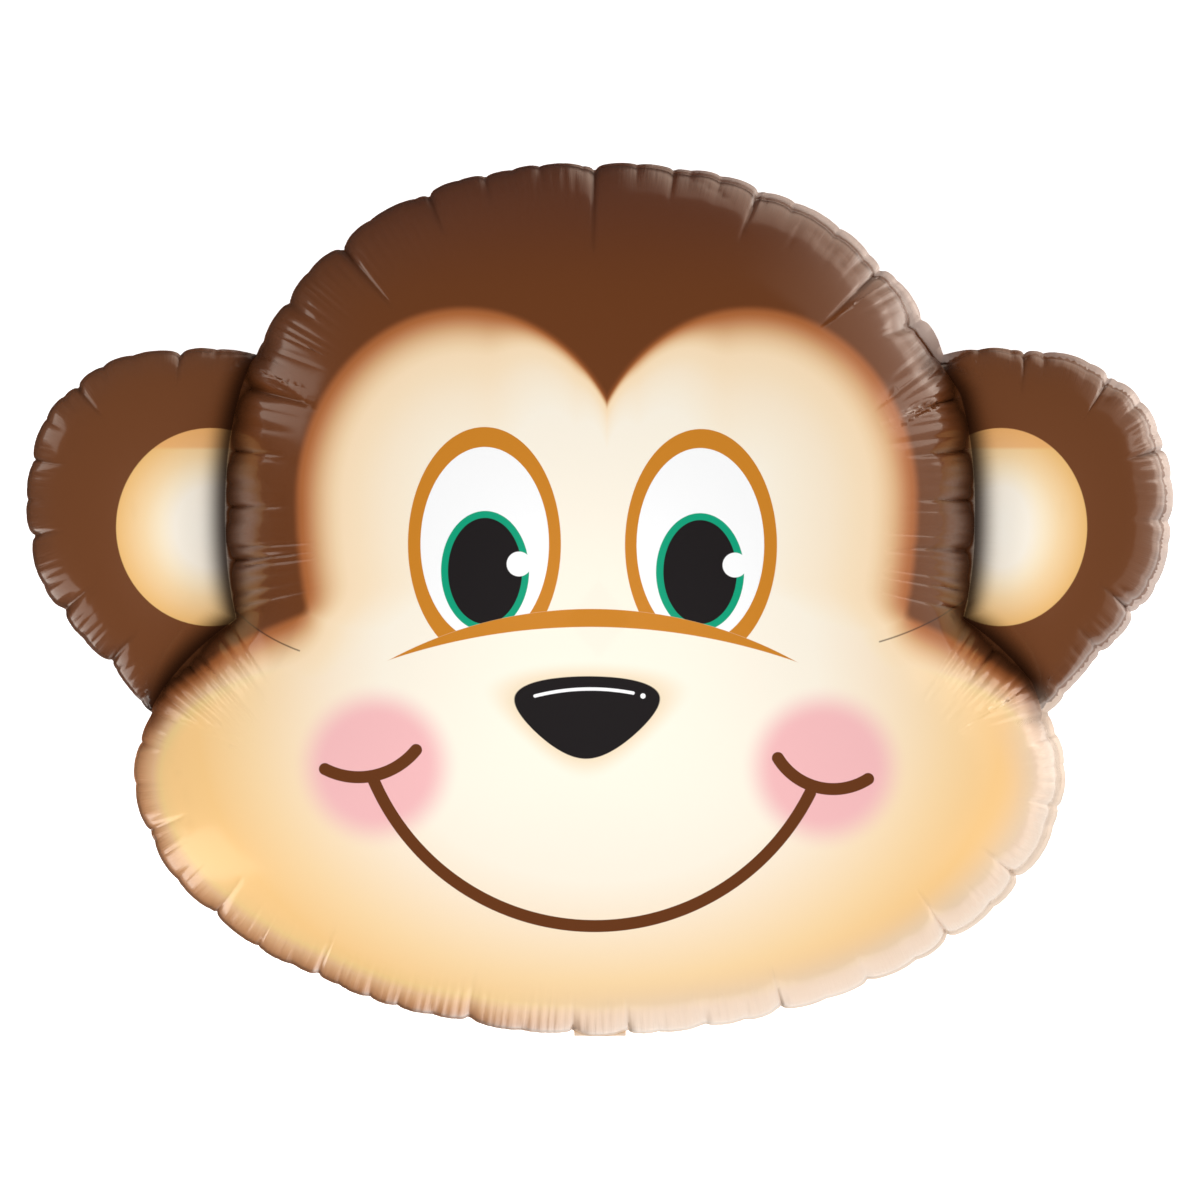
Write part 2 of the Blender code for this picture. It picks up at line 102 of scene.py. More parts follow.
# Pleats by bearing in degrees round the middle of the face or ear, with reach and depth in metres
pleats = {
    "crown": ((41, 0.020, 0.0025), (49.5, 0.042, 0.0046), (68.8, 0.030, 0.0036), (80.3, 0.020, 0.0024),
              (90.7, 0.052, 0.0044), (105.1, 0.020, 0.0026), (112.9, 0.027, 0.0040), (126.3, 0.046, 0.0048),
              (136.4, 0.020, 0.0026)),
    "rightFold": ((29.4, 0.034, 0.0036), (22, 0.032, 0.0030), (15, 0.030, 0.0026), (7.5, 0.036, 0.0032),
                  (-6.5, 0.026, 0.0026)),
    "leftFold": ((149, 0.043, 0.0042), (158, 0.030, 0.0030), (166, 0.032, 0.0026), (174, 0.038, 0.0034),
                 (188.5, 0.026, 0.0026)),
    "rightEar": ((-52.6, 0.018, 0.0030), (-33.6, 0.022, 0.0040), (3, 0.018, 0.0026), (27.3, 0.020, 0.0032),
                 (56.8, 0.025, 0.0040), (85, 0.022, 0.0030)),
    "leftEar": ((93.5, 0.018, 0.0028), (128.4, 0.024, 0.0040), (156, 0.018, 0.0026), (182.3, 0.018, 0.0032),
                (212.5, 0.022, 0.0032), (238, 0.022, 0.0040)),
    "jaw": ((207.1, 0.024, 0.0026), (219.2, 0.026, 0.0026), (233.1, 0.032, 0.0032), (252.6, 0.031, 0.0030),
            (266.3, 0.022, 0.0022), (273.7, 0.022, 0.0022), (284, 0.018, 0.0016), (293.9, 0.028, 0.0030),
            (305, 0.020, 0.0020), (315.9, 0.036, 0.0036), (326.4, 0.026, 0.0028), (335.8, 0.022, 0.0026)),
}

# Scallops, then fine gathers between them: from and to which bearing, spacing, reach and depth in metres
gathers = {
    "crown": ((20, 160, 0.026, 0.022, 0.0016), (33, 62, 0.0078, 0.032, 0.00095),
              (62, 92, 0.014, 0.012, 0.00030), (92, 118, 0.0060, 0.060, 0.00050),
              (118, 150, 0.0070, 0.052, 0.00070)),
    "rightFold": ((-24, 45, 0.021, 0.030, 0.0014), (-20, 12, 0.0072, 0.074, 0.00140),
                  (12, 42, 0.0080, 0.062, 0.00130)),
    "leftFold": ((135, 204, 0.021, 0.030, 0.0014), (138, 172, 0.0095, 0.050, 0.00070),
                 (170, 192, 0.0076, 0.080, 0.00150)),
    "rightEar": ((-130, 160, 0.024, 0.020, 0.0016), (-130, 40, 0.0075, 0.022, 0.00100),
                 (40, 160, 0.0100, 0.016, 0.00070)),
    "leftEar": ((10, 310, 0.024, 0.020, 0.0016), (60, 150, 0.0095, 0.016, 0.00070),
                (150, 290, 0.0075, 0.022, 0.00100)),
    "jaw": ((180, 360, 0.030, 0.022, 0.0018), (190, 222, 0.0085, 0.026, 0.00070),
            (222, 274, 0.0060, 0.036, 0.00120), (274, 296, 0.0062, 0.034, 0.00120),
            (296, 318, 0.012, 0.016, 0.00040), (318, 352, 0.0072, 0.028, 0.00110),
            (352, 360, 0.0072, 0.030, 0.00110)),
}

gathering = {
    "seed": 11,
    "sizes": (0.35, 1.0), "spacings": (0.6, 1.4),  # how single gathers vary
    "depthBySize": 0.3, "reachBySize": (0.4, 0.7),
    "stretchEnd": (0.0015, 0.025),  # depth and reach where two stretches of the seam meet
    "valleyPower": (0.62, 0.9),     # a valley is sharp at the seam, and rounder the further it is from it
    "fadePower": 1.35,
    "atWeld": 0.22, "wholeFrom": 0.009,  # fine gathers: share left at the weld, and how far in they are whole
    "lineDepth": 0.60, "lineReach": 1.25, "lineFade": 0.5, "lineWidth": 0.0015,  # bottom of a main pleat
}

# Single creases of the film: where each begins and ends, in millimetres from the middle, depth and half width
creases = (
    ((-235, -8), (-194, -33), 1.6, 1.6), ((242, 2), (181, -27), 1.8, 1.6),
    ((-224, 144), (-186, 123), 0.7, 1.5), ((195, 121), (226, 132), 0.7, 1.2),
    ((177, 30), (231, 30), 0.6, 1.3), ((57, 270), (86, 254), 0.9, 1.4), ((135, 235), (164, 203), 0.9, 1.4),
    ((181, 196), (205, 160), 0.6, 1.6),
    ((-208, 103), (-205, -10), 0.55, 1.8), ((-216, 88), (-218, 20), 0.45, 1.6),
    ((-196, 92), (-193, 30), 0.5, 2.2), ((205, 100), (211, 10), 0.5, 1.8),
    ((-330, 122), (-352, 80), 0.6, 1.6),
    ((-338, -20), (-290, -68), 0.7, 2.0), ((-322, 30), (-330, -12), 0.4, 1.8),
    ((318, -2), (283, -62), 0.7, 1.8), ((341, 95), (348, 40), 0.6, 1.6),
    ((-275, -97), (-262, -150), 0.5, 1.8),
    ((271, -95), (262, -150), 0.6, 1.8), ((235, -40), (262, -72), 0.7, 1.6),
)
creaseForm = {"bow": 0.06, "taper": 0.7, "edge": 1.2}    # its bow to one side as a share of its length

# The painted shade line down in a pleat: full at this depth, with less on the jaw, whose pleats lie open to the light
shading = {"creaseDepth": 1.9, "pleatDepth": 0.0045, "reach": 1.2, "fade": 0.6, "width": 0.0011, "edge": 1.5,
           "share": {"jaw": 0.22, "rightFold": 0.6, "leftFold": 0.6}}


def insideLobe(shape, x, y):
    u, v = np.abs(x / shape["half"][0]), np.abs((y - shape["y"]) / shape["half"][1])
    return u ** shape["power"] + v ** shape["power"] < 1


def lobe(name):
    half = (outline[name + "Width"] / 2, outline[name + "Height"] / 2)
    return {"half": half, "y": outline[name + "Y"], "power": outline[name + "Squareness"]}


headLobe, jawLobe = lobe("head"), lobe("jaw")


def onBody(x, y):
    return insideLobe(headLobe, x, y) | insideLobe(jawLobe, x, y)


def bodyReach(bearings):
    # how far the head or jaw reaches from the middle of the face, found by halving
    low, high = np.zeros_like(bearings), np.full_like(bearings, outline["jawWidth"])
    for _ in range(40):
        middle = (low + high) / 2
        held = onBody(middle * np.cos(bearings), middle * np.sin(bearings))
        low, high = np.where(held, middle, low), np.where(held, high, middle)
    return low


def arcAlong(points):
    return np.concatenate(([0], np.cumsum(np.linalg.norm(np.diff(points, axis=0), axis=1))))


def measured(points, bearings):
    return {"points": points, "bearings": bearings, "arc": arcAlong(points)}


def bodyPath(start, end):
    bearings = np.linspace(start, end, outline["pathPoints"])
    r = bodyReach(bearings)
    return measured(np.column_stack((r * np.cos(bearings), r * np.sin(bearings))), bearings)


def smoothThrough(knots, steps):
    # a Catmull-Rom curve
    knots = np.vstack((2 * knots[0] - knots[1], knots, 2 * knots[-1] - knots[-2]))
    t = np.linspace(0, 1, steps, endpoint=False)[:, None]
    runs = []
    for before, first, last, after in zip(knots, knots[1:], knots[2:], knots[3:]):
        bend = (2 * before - 5 * first + 4 * last - after) * t ** 2
        bend += (3 * first - before - 3 * last + after) * t ** 3
        runs.append(first + ((last - before) * t + bend) / 2)
    return np.concatenate(runs + [knots[-2:-1]])


def rightEarPath():
    middle = np.array((outline["headWidth"] / 2 + outline["earStandoff"], outline["earY"]))
    points = middle + outline["earLength"] * smoothThrough(np.array(outline["earEdge"]), outline["earPoints"])
    outside = np.flatnonzero(~onBody(points[:, 0], points[:, 1]))
    points = points[outside[0]:outside[-1] + 1]
    fromMiddle = points - middle
    return measured(points, np.unwrap(np.arctan2(fromMiddle[:, 1], fromMiddle[:, 0])))


def mirrored(path):
    return measured((path["points"] * (-1, 1))[::-1], math.pi - path["bearings"][::-1])


def seamPaths():
    # the stretches of the seam, each anticlockwise round its own part
    ear = rightEarPath()
    low, high = (math.atan2(ear["points"][k][1], ear["points"][k][0]) for k in (0, -1))
    return {
        "rightFold": bodyPath(low, high), "crown": bodyPath(high, math.pi - high),
        "leftFold": bodyPath(math.pi - high, math.pi - low), "jaw": bodyPath(math.pi - low, math.tau + low),
        "rightEar": ear, "leftEar": mirrored(ear),
    }


def normalsOf(points):
    along = np.roll(points, -1, axis=0) - np.roll(points, 1, axis=0)
    along /= np.linalg.norm(along, axis=1)[:, None]
    return np.column_stack((-along[:, 1], along[:, 0]))


def quiltings(name, path, rng):
    # pleats, scallops and gathers of one stretch, each a row of valleys: place, depth and reach
    def placeOf(bearing):
        return np.interp(math.radians(bearing), path["bearings"], path["arc"])

    main = sorted((placeOf(bearing), depth, reach) for bearing, reach, depth in pleats[name])
    rows = [[(0.0, *gathering["stretchEnd"])] + main + [(path["arc"][-1], *gathering["stretchEnd"])]]
    reachLow, reachGain = gathering["reachBySize"]
    for start, end, spacing, reach, depth in gathers[name]:
        row = [(placeOf(start), 0.0, reach)]
        while row[-1][0] < placeOf(end):
            size = rng.uniform(*gathering["sizes"])
            place = row[-1][0] + spacing * rng.uniform(*gathering["spacings"])
            deep = depth * (gathering["depthBySize"] + size)
            row.append((place, deep, reach * (reachLow + reachGain * size)))
        row[-1] = (row[-1][0], 0.0, reach)
        rows.append(row)
    return [np.array(row) for row in rows]


def quilted(valleys, arc, away):
    # how far film is drawn in: sharp at each valley, round between two, dying out away from the seam
    places, depths, reaches = valleys.T
    near = np.clip(np.searchsorted(places, arc) - 1, 0, len(places) - 2)
    share = (arc - places[near]) / (places[near + 1] - places[near])
    inside = (share >= 0) & (share <= 1)
    share = np.clip(share, 0, 1)
    side = np.where(share < 0.5, near, near + 1)
    depth = depths[near] + (depths[near + 1] - depths[near]) * share
    fade = np.clip(away / reaches[side], 0, 1)
    power = gathering["valleyPower"][0] + gathering["valleyPower"][1] * fade
    hollow = 1 - (4 * share * (1 - share)) ** power
    return np.where(inside, depth * (1 - fade) ** gathering["fadePower"] * hollow, 0)


def pleatLines(valleys, arc, away):
    # the thin line at the bottom of each main pleat
    total = np.zeros(len(arc))
    for place, depth, reach in valleys[1:-1]:
        fade = np.clip(1 - away / (gathering["lineReach"] * reach), 0, 1) ** gathering["lineFade"]
        total += gathering["lineDepth"] * depth * fade * np.exp(-np.abs(arc - place) / gathering["lineWidth"])
    return total


def creased(x, y):
    total = np.zeros(len(x))
    for start, end, depth, half in creases:
        start, end = np.array(start) / 1000, np.array(end) / 1000
        run = end - start
        share = ((x - start[0]) * run[0] + (y - start[1]) * run[1]) / (run @ run)
        arch = np.sin(math.pi * np.clip(share, 0, 1))
        across = ((x - start[0]) * -run[1] + (y - start[1]) * run[0]) / np.linalg.norm(run)
        gap = np.abs(across - creaseForm["bow"] * np.linalg.norm(run) * arch) * 1000
        total += depth / 1000 * arch ** creaseForm["taper"] * np.exp(-(gap / half) ** creaseForm["edge"])
    return total


def treeOf(places):
    tree = KDTree(len(places))
    for k, (x, y) in enumerate(places):
        tree.insert((x, y, 0), k)
    tree.balance()
    return tree


def stationsAlong(paths):
    # even points along every stretch, without its last one, and which of them belong to which stretch
    names, places, arcs, spans = [], [], [], {}
    for name, path in paths.items():
        count = round(path["arc"][-1] / envelope["stationStep"])
        arc = np.arange(count) * path["arc"][-1] / count
        places.append(np.column_stack([np.interp(arc, path["arc"], path["points"][:, k]) for k in (0, 1)]))
        arcs.append(arc)
        spans[name] = np.arange(count) + len(names)
        names += [name] * count
    return {"names": names, "place": np.concatenate(places), "arc": np.concatenate(arcs), "spans": spans}


def openedAt(inward):
    # the weld lies open where the edge faces right, and is tucked down elsewhere
    turn = math.radians(weld["opensToward"])
    facing = -inward @ np.array((math.cos(turn), math.sin(turn)))
    opened = np.clip((facing - weld["openFrom"]) / weld["openOver"], 0, 1)
    half = weld["blend"] // 2
    around = np.concatenate((opened[-half:], opened, opened[:half]))
    return np.convolve(around, np.ones(weld["blend"]) / weld["blend"], "valid")


def weldWidths(edge, opened):
    bearing = np.degrees(np.arctan2(edge[:, 1], edge[:, 0]))
    notch = np.clip(1 - np.abs(bearing - weld["notchBearing"]) / weld["notchHalf"], 0, 1)
    return weld["tucked"] + (weld["open"] - weld["tucked"] + weld["notchExtra"] * notch) * opened


def sinkFold(stations, fold, startWidth, endWidth):
    # the fold between ear and head follows the weld in at both of its ends
    run, arc = stations["place"][fold[1:]], stations["arc"]
    fromStart = arc[fold[1:]]
    fromEnd = arc[fold[-1]] + envelope["stationStep"] - arc[fold[1:]]
    sunk = np.maximum(startWidth * np.clip(1 - fromStart / (4 * startWidth), 0, 1),
                      endWidth * np.clip(1 - fromEnd / (4 * endWidth), 0, 1))
    tangent = np.gradient(run, axis=0)
    tangent /= np.linalg.norm(tangent, axis=1)[:, None]
    stations["place"][fold[1:]] = run + sunk[:, None] * np.column_stack((-tangent[:, 1], tangent[:, 0]))


def pointsWithin(stations, loops, segments):
    # every point of the panel: x, y, arc along its stretch, distance from the border, stretch
    place, arc, names = stations["place"], stations["arc"], stations["names"]
    border = treeOf([place[a] for a, _ in segments] + [(place[a] + place[b]) / 2 for a, b in segments])

    def borderGap(x, y):
        return border.find((x, y, 0))[2]

    points = [(*place[k], arc[k], 0.0, names[k]) for k in range(len(names))]
    lastGap = 0.0
    for gap in envelope["fineRows"]:
        laid = treeOf([point[:2] for point in points])
        fresh = []
        for loop, isBody in loops:
            normals = normalsOf(place[loop])
            for k, number in enumerate(loop):
                x, y = place[number] + normals[k] * gap
                if bool(onBody(x, y)) != isBody or borderGap(x, y) < envelope["rowCrowding"] * gap:
                    continue
                if laid.find((x, y, 0))[2] < (gap - lastGap) / 2:
                    continue
                owner = names[number] if isBody or "Fold" not in names[number] else ""
                fresh.append((x, y, arc[number], gap, owner))
        points += fresh
        lastGap = gap

    laid = treeOf([point[:2] for point in points])
    step = envelope["gridStep"]
    for j in range(-envelope["gridRows"], envelope["gridRows"] + 1):
        for i in range(-envelope["gridColumns"], envelope["gridColumns"] + 1):
            x, y = (i + 0.5 * (j % 2)) * step, j * step * math.sqrt(3) / 2
            gap = borderGap(x, y)
            if gap > lastGap + step / 3 and laid.find((x, y, 0))[2] > step / 2:
                points.append((x, y, 0.0, gap, ""))
    return points


def layOut():
    # flat points of one panel with what each one needs, its triangles, and the seam in order
    rng = random.Random(gathering["seed"])
    paths = seamPaths()
    stations = stationsAlong(paths)
    place, spans = stations["place"], stations["spans"]
    right, left, crown, jaw = (spans[key] for key in ("rightFold", "leftFold", "crown", "jaw"))
    rightEdge = np.concatenate((right[:1], spans["rightEar"][1:], crown[:1]))
    leftEdge = np.concatenate((left[:1], spans["leftEar"][1:], jaw[:1]))
    rim = np.concatenate((rightEdge[:-1], crown, leftEdge[:-1], jaw))
    loops = ((np.concatenate((right, crown, left, jaw)), True),
             (np.concatenate((rightEdge, right[:0:-1])), False),
             (np.concatenate((leftEdge, left[:0:-1])), False))
    unused = {int(spans["rightEar"][0]), int(spans["leftEar"][0])}

    edge = place[rim].copy()
    inward = normalsOf(edge)
    opened = openedAt(inward)
    widths = weldWidths(edge, opened)
    place[rim] = edge + inward * widths[:, None]
    widthAt = dict(zip(rim.tolist(), widths))
    for fold, far in ((right, crown[0]), (left, jaw[0])):
        sinkFold(stations, fold, widthAt[int(fold[0])], widthAt[int(far)])

    sides = (side for loop, _ in loops for side in zip(loop.tolist(), np.roll(loop, -1).tolist()))
    segments = sorted({(min(side), max(side)) for side in sides})
    points = pointsWithin(stations, loops, segments)
    kept = [k for k in range(len(points)) if k not in unused]
    order = {old: new for new, old in enumerate(kept)}
    flat = [Vector(points[k][:2]) for k in kept]
    print("points to join:", len(flat))
    result = delaunay_2d_cdt(flat, [(order[a], order[b]) for a, b in segments], [], 1, 1e-8)
    faces = np.array([[kept[result[3][corner][0]] for corner in face] for face in result[2]])
    used = sorted(set(faces.ravel().tolist()))
    renumber = {old: new for new, old in enumerate(used)}
    table = [points[k] for k in used]
    return {
        "flat": np.array([row[:2] for row in table]), "arc": np.array([row[2] for row in table]),
        "away": np.array([row[3] for row in table]), "stretch": np.array([row[4] for row in table]),
        "triangles": np.searchsorted(used, faces), "rim": np.array([renumber[int(k)] for k in rim]),
        "folds": [np.array([renumber[int(k)] for k in fold[1:]]) for fold in (right, left)],
        "edge": edge, "inward": inward, "weld": widths, "opened": opened,
        "quilts": {name: quiltings(name, path, rng) for name, path in paths.items()},
    }


def filledHeight(panel):
    # a soap film over the flat panel, solved by conjugate gradients, as a share of the full depth
    flat, triangles = panel["flat"], panel["triangles"]
    corner = flat[triangles]
    edge = np.roll(corner, -2, axis=1) - np.roll(corner, -1, axis=1)
    area = np.abs(edge[:, 0, 0] * edge[:, 1, 1] - edge[:, 0, 1] * edge[:, 1, 0]) / 2
    count = len(flat)
    load = np.zeros(count)
    starts, ends, weights = [], [], []
    for a in range(3):
        b = (a + 1) % 3
        load += np.bincount(triangles[:, a], area / 3, count)
        starts.append(triangles[:, a])
        ends.append(triangles[:, b])
        weights.append((edge[:, a] * edge[:, b]).sum(1) / (4 * area))
    starts, ends, weights = np.concatenate(starts), np.concatenate(ends), np.concatenate(weights)
    diagonal = -np.bincount(starts, weights, count) - np.bincount(ends, weights, count)

    fixedValue = np.zeros(count)
    fixed = np.zeros(count, bool)
    fixed[panel["rim"]] = True
    for fold in panel["folds"]:
        fixed[fold] = True
        share = np.arange(1, len(fold) + 1) / (len(fold) + 1)
        fixedValue[fold] = (envelope["earFold"] / envelope["depth"]) ** 2 * np.sin(math.pi * share)

    def stiff(x):
        there = np.bincount(starts, weights * x[ends], count)
        return diagonal * x + there + np.bincount(ends, weights * x[starts], count)

    def solve(right, start):
        x = start.copy()
        rest = np.where(fixed, 0, right - stiff(x))
        push = rest / diagonal
        step, size = push.copy(), rest @ push
        first = size
        for _ in range(1500):
            pulled = np.where(fixed, 0, stiff(step))
            share = size / (step @ pulled)
            x += share * step
            rest -= share * pulled
            push = rest / diagonal
            size, before = rest @ push, size
            if size < 1e-14 * first:
                break
            step = push + size / before * step
        return x

    film = solve(load, np.zeros(count))
    pull = solve(np.zeros(count), fixedValue)
    whole = film / film.max() + pull
    return np.sqrt(np.clip(whole / whole.max(), 0, None))


def smoothNormals(flat, height, triangles):
    corner = np.column_stack((flat, height))[triangles]
    across = np.cross(corner[:, 1] - corner[:, 0], corner[:, 2] - corner[:, 0])
    across *= np.sign(across[:, 2])[:, None]
    normals = np.zeros((len(flat), 3))
    for a in range(3):
        for axis in range(3):
            normals[:, axis] += np.bincount(triangles[:, a], across[:, axis], len(flat))
    return normals / np.linalg.norm(normals, axis=1)[:, None]


def ripple(arc, seed, waves):
    # a wandering line: a few sines of given length and height, with fixed phases
    rng = random.Random(seed)
    return sum(high * np.sin(arc / length * math.tau + rng.uniform(0, math.tau)) for length, high in waves)


def drawnIn(panel):
    # total depth of pleats, scallops, gathers and creases at each point
    depth = creased(panel["flat"][:, 0], panel["flat"][:, 1])
    for name, quilts in panel["quilts"].items():
        mine = panel["stretch"] == name
        arc, away = panel["arc"][mine], panel["away"][mine]
        # pleats and scallops reach the weld, while the fine gathers are strongest a little way in
        rise = gathering["atWeld"] + (1 - gathering["atWeld"]) * np.clip(away / gathering["wholeFrom"], 0, 1)
        depth[mine] += pleatLines(quilts[0], arc, away)
        depth[mine] += sum(quilted(valleys, arc, away) for valleys in quilts[:2])
        depth[mine] += rise * sum(quilted(valleys, arc, away) for valleys in quilts[2:])
    for fold in panel["folds"]:
        depth[fold] = 0
    return depth


def creaseShade(panel):
    # how deep in the line of a pleat or crease a point lies, where hardly any light comes: the mask of the painted
    # shade there
    creaseDepth = creased(panel["flat"][:, 0], panel["flat"][:, 1]) * 1000
    shade = np.clip(creaseDepth / shading["creaseDepth"], 0, 1) ** 2
    for name, quilts in panel["quilts"].items():
        mine = panel["stretch"] == name
        arc, away = panel["arc"][mine], panel["away"][mine]
        for place, depth, reach in quilts[0][1:-1]:
            fade = np.clip(1 - away / (shading["reach"] * reach), 0, 1) ** shading["fade"]
            line = np.exp(-(np.abs(arc - place) / shading["width"]) ** shading["edge"])
            dark = shading["share"].get(name, 1.0) * min(depth / shading["pleatDepth"], 1) ** 2
            shade[mine] += dark * fade * line
    return np.clip(shade, 0, 1)


panel = layOut()
print("panel laid out:", len(panel["flat"]), "points,", len(panel["triangles"]), "triangles")
height = envelope["depth"] * filledHeight(panel)
print("film solved")


def twoPanels(panel, height, depth, wander):
    # the front and back sheets, lifted with the weld near it; the back is pressed flat where it rests
    flat, rim = panel["flat"], panel["rim"]
    normals = smoothNormals(flat, height, panel["triangles"])
    normals[rim] = np.column_stack((-panel["inward"], np.zeros(len(rim))))
    front = np.column_stack((flat, height)) - normals * depth[:, None]

    lift = np.zeros(len(flat))
    nearRim = treeOf(flat[rim])
    for k in np.flatnonzero(panel["away"] < weld["wanderReach"]):
        _, near, gap = nearRim.find((*flat[k], 0))
        lift[k] = wander[near] * math.exp(-gap / weld["wanderFade"])

    back, lowest = front.copy(), envelope["restFlat"] - envelope["depth"]
    back[:, 2] = np.maximum(-back[:, 2], lowest)
    front[:, 2] += lift
    back[:, 2] += np.where(back[:, 2] <= lowest + 1e-9, 0, lift)
    front[rim, 2], back[rim, 2] = wander + weld["thickness"] / 2, wander - weld["thickness"] / 2
    return front, back


def addTail(verts, faces, slots, top, low):
    # the flat filling tail bends down from the bottom of the seam and hangs behind it
    swing = math.radians(90 + tail["lean"])
    bends = [swing * k / tail["bendRows"] for k in range(1, tail["bendRows"] + 1)]
    path = [(-tail["bend"] * math.sin(a), -tail["bend"] * (1 - math.cos(a)), a) for a in bends]
    straight = tail["length"] - tail["bend"] * swing
    lastY, lastZ, _ = path[-1]
    for k in range(1, tail["rows"] + 1):
        run = straight * k / tail["rows"]
        path.append((lastY - math.cos(swing) * run, lastZ - math.sin(swing) * run, swing))
    base = (verts[top] + verts[low]) / 2
    level = base.mean(axis=0)
    wave = np.sin(np.linspace(0, math.tau, len(base)))
    for row, (y, z, angle) in enumerate(path, 1):
        centre = base.copy()
        centre[:, 1:] += (level[1:] - centre[:, 1:]) * min(1, row / len(bends))
        centre[:, 1:] += (y, z)
        outward = np.array((0, -math.sin(angle), math.cos(angle)))
        curl = tail["curl"] * min(1, max(0, row - len(bends)) / tail["curlRows"])
        centre += np.outer(curl * wave, outward)
        half = outward * tail["thickness"] / 2
        first = len(verts)
        verts = np.concatenate((verts, centre + half, centre - half))
        nextTop, nextLow = first + np.arange(len(base)), first + len(base) + np.arange(len(base))
        for k in range(len(base) - 1):
            faces.append((top[k], top[k + 1], nextTop[k + 1], nextTop[k]))
            faces.append((low[k], nextLow[k], nextLow[k + 1], low[k + 1]))
        faces.append((top[0], nextTop[0], nextLow[0], low[0]))
        faces.append((top[-1], low[-1], nextLow[-1], nextTop[-1]))
        slots += [1] * (2 * len(base))
        top, low = nextTop, nextLow
    for k in range(len(top) - 1):
        faces.append((top[k], top[k + 1], low[k + 1], low[k]))
        slots.append(1)
    return verts, faces, slots


def foldGaps(panel):
    # distance from the fold between ear and head, negative on the head
    flat = panel["flat"]
    nearFold = treeOf(flat[np.concatenate(panel["folds"])])
    gap = np.array([nearFold.find((*point, 0))[2] for point in flat])
    return gap * np.where(onBody(flat[:, 0], flat[:, 1]), -1, 1)


def makeEnvelope(panel, height):
    flat, rim = panel["flat"], panel["rim"]
    count, size = len(flat), len(rim)
    rimArc = arcAlong(panel["edge"])
    wander = ripple(rimArc, 3, weld["wander"])
    depth = drawnIn(panel)
    front, back = twoPanels(panel, height, depth, wander)

    # the welded edge: two more rows out to the cut line, which hangs down a little towards the right
    outer = panel["edge"] + panel["inward"] * (depth[rim] * weld["drawnIn"])[:, None]
    width = weld["open"] + weld["notchExtra"] * panel["opened"]
    droop = np.sqrt(np.maximum(width ** 2 - panel["weld"] ** 2, 0)) * weld["droop"]
    droop += ripple(rimArc, 5, weld["ruffle"])
    sheets = [front, back]
    middle = (outer + front[rim, :2]) / 2
    for places, drop in ((middle, droop * weld["middleDroop"]), (outer, droop)):
        for side in (weld["thickness"] / 2, -weld["thickness"] / 2):
            sheets.append(np.column_stack((places, wander - drop + side)))
    verts = np.concatenate(sheets)

    midTop, midLow, outTop, outLow = (2 * count + size * k for k in range(4))
    faces, slots = [], []
    for a, b, c in panel["triangles"]:
        faces += [(a, b, c), (a + count, c + count, b + count)]
        slots += [0, 1]
    atTail = (np.abs(outer[:, 0]) < tail["halfWidth"]) & (outer[:, 1] < 0)
    for k in range(size):
        n = (k + 1) % size
        faces.append((rim[k], rim[n], midTop + n, midTop + k))
        faces.append((midTop + k, midTop + n, outTop + n, outTop + k))
        faces.append((rim[k] + count, midLow + k, midLow + n, rim[n] + count))
        faces.append((midLow + k, outLow + k, outLow + n, midLow + n))
        slots += [0, 0, 1, 1]
        if not (atTail[k] and atTail[n]):
            faces.append((outTop + k, outTop + n, outLow + n, outLow + k))
            slots.append(1)
    tailAt = np.flatnonzero(atTail)
    verts, faces, slots = addTail(verts, faces, slots, outTop + tailAt, outLow + tailAt)

    def everywhere(onFront, onBack, onMiddle, onEdge, onTail):
        tailPart = np.full(len(verts) - 2 * count - 4 * size, onTail)
        return np.concatenate((onFront, onBack, onMiddle, onMiddle, onEdge, onEdge, tailPart))

    gap, shade, widths = foldGaps(panel), creaseShade(panel), panel["weld"]
    closed, flatRim = np.zeros(count), np.zeros(size)
    openedFront = closed.copy()
    openedFront[rim] = panel["opened"]
    smoothFront, smoothBack = np.column_stack((flat, height)), np.column_stack((flat, -height))
    unpleated = np.concatenate((smoothFront, smoothBack, verts[2 * count:]))
    verts[:, 2] += seamHeight
    return {
        "verts": verts, "faces": faces, "slots": slots, "unpleated": unpleated,
        "arc": everywhere(panel["arc"], panel["arc"], rimArc, rimArc, 0.0),
        "away": everywhere(panel["away"], panel["away"], -widths / 2, -widths, tail["fromWeld"]),
        "foldGap": everywhere(gap, gap, gap[rim], gap[rim], tail["fromFold"]),
        "opened": everywhere(openedFront, closed, panel["opened"], panel["opened"], 0.0),
        "shade": everywhere(shade, shade, flatRim, flatRim, 0.0),
    }


view = {"distance": 5.0, "metresAcross": 0.7735}
seamHeight = cadLow.z + envelope["depth"] - envelope["restFlat"]
foil = makeEnvelope(panel, height)
low, high = foil["verts"].min(axis=0), foil["verts"].max(axis=0)
shift = np.array((cadLow.x + cadHigh.x - low[0] - high[0], cadLow.y + cadHigh.y - low[1] - high[1], 0)) / 2
print("shift onto the frame, mm:", shift * 1000)

skinMesh = bpy.data.meshes.new("foilSkin")
faces = [tuple(int(corner) for corner in face) for face in foil["faces"]]
skinMesh.from_pydata([tuple(v) for v in foil["verts"] + shift], [], faces)
skin = bpy.data.objects.new("foilSkin", skinMesh)
bpy.context.scene.collection.objects.link(skin)
skinMesh.polygons.foreach_set("material_index", foil["slots"])

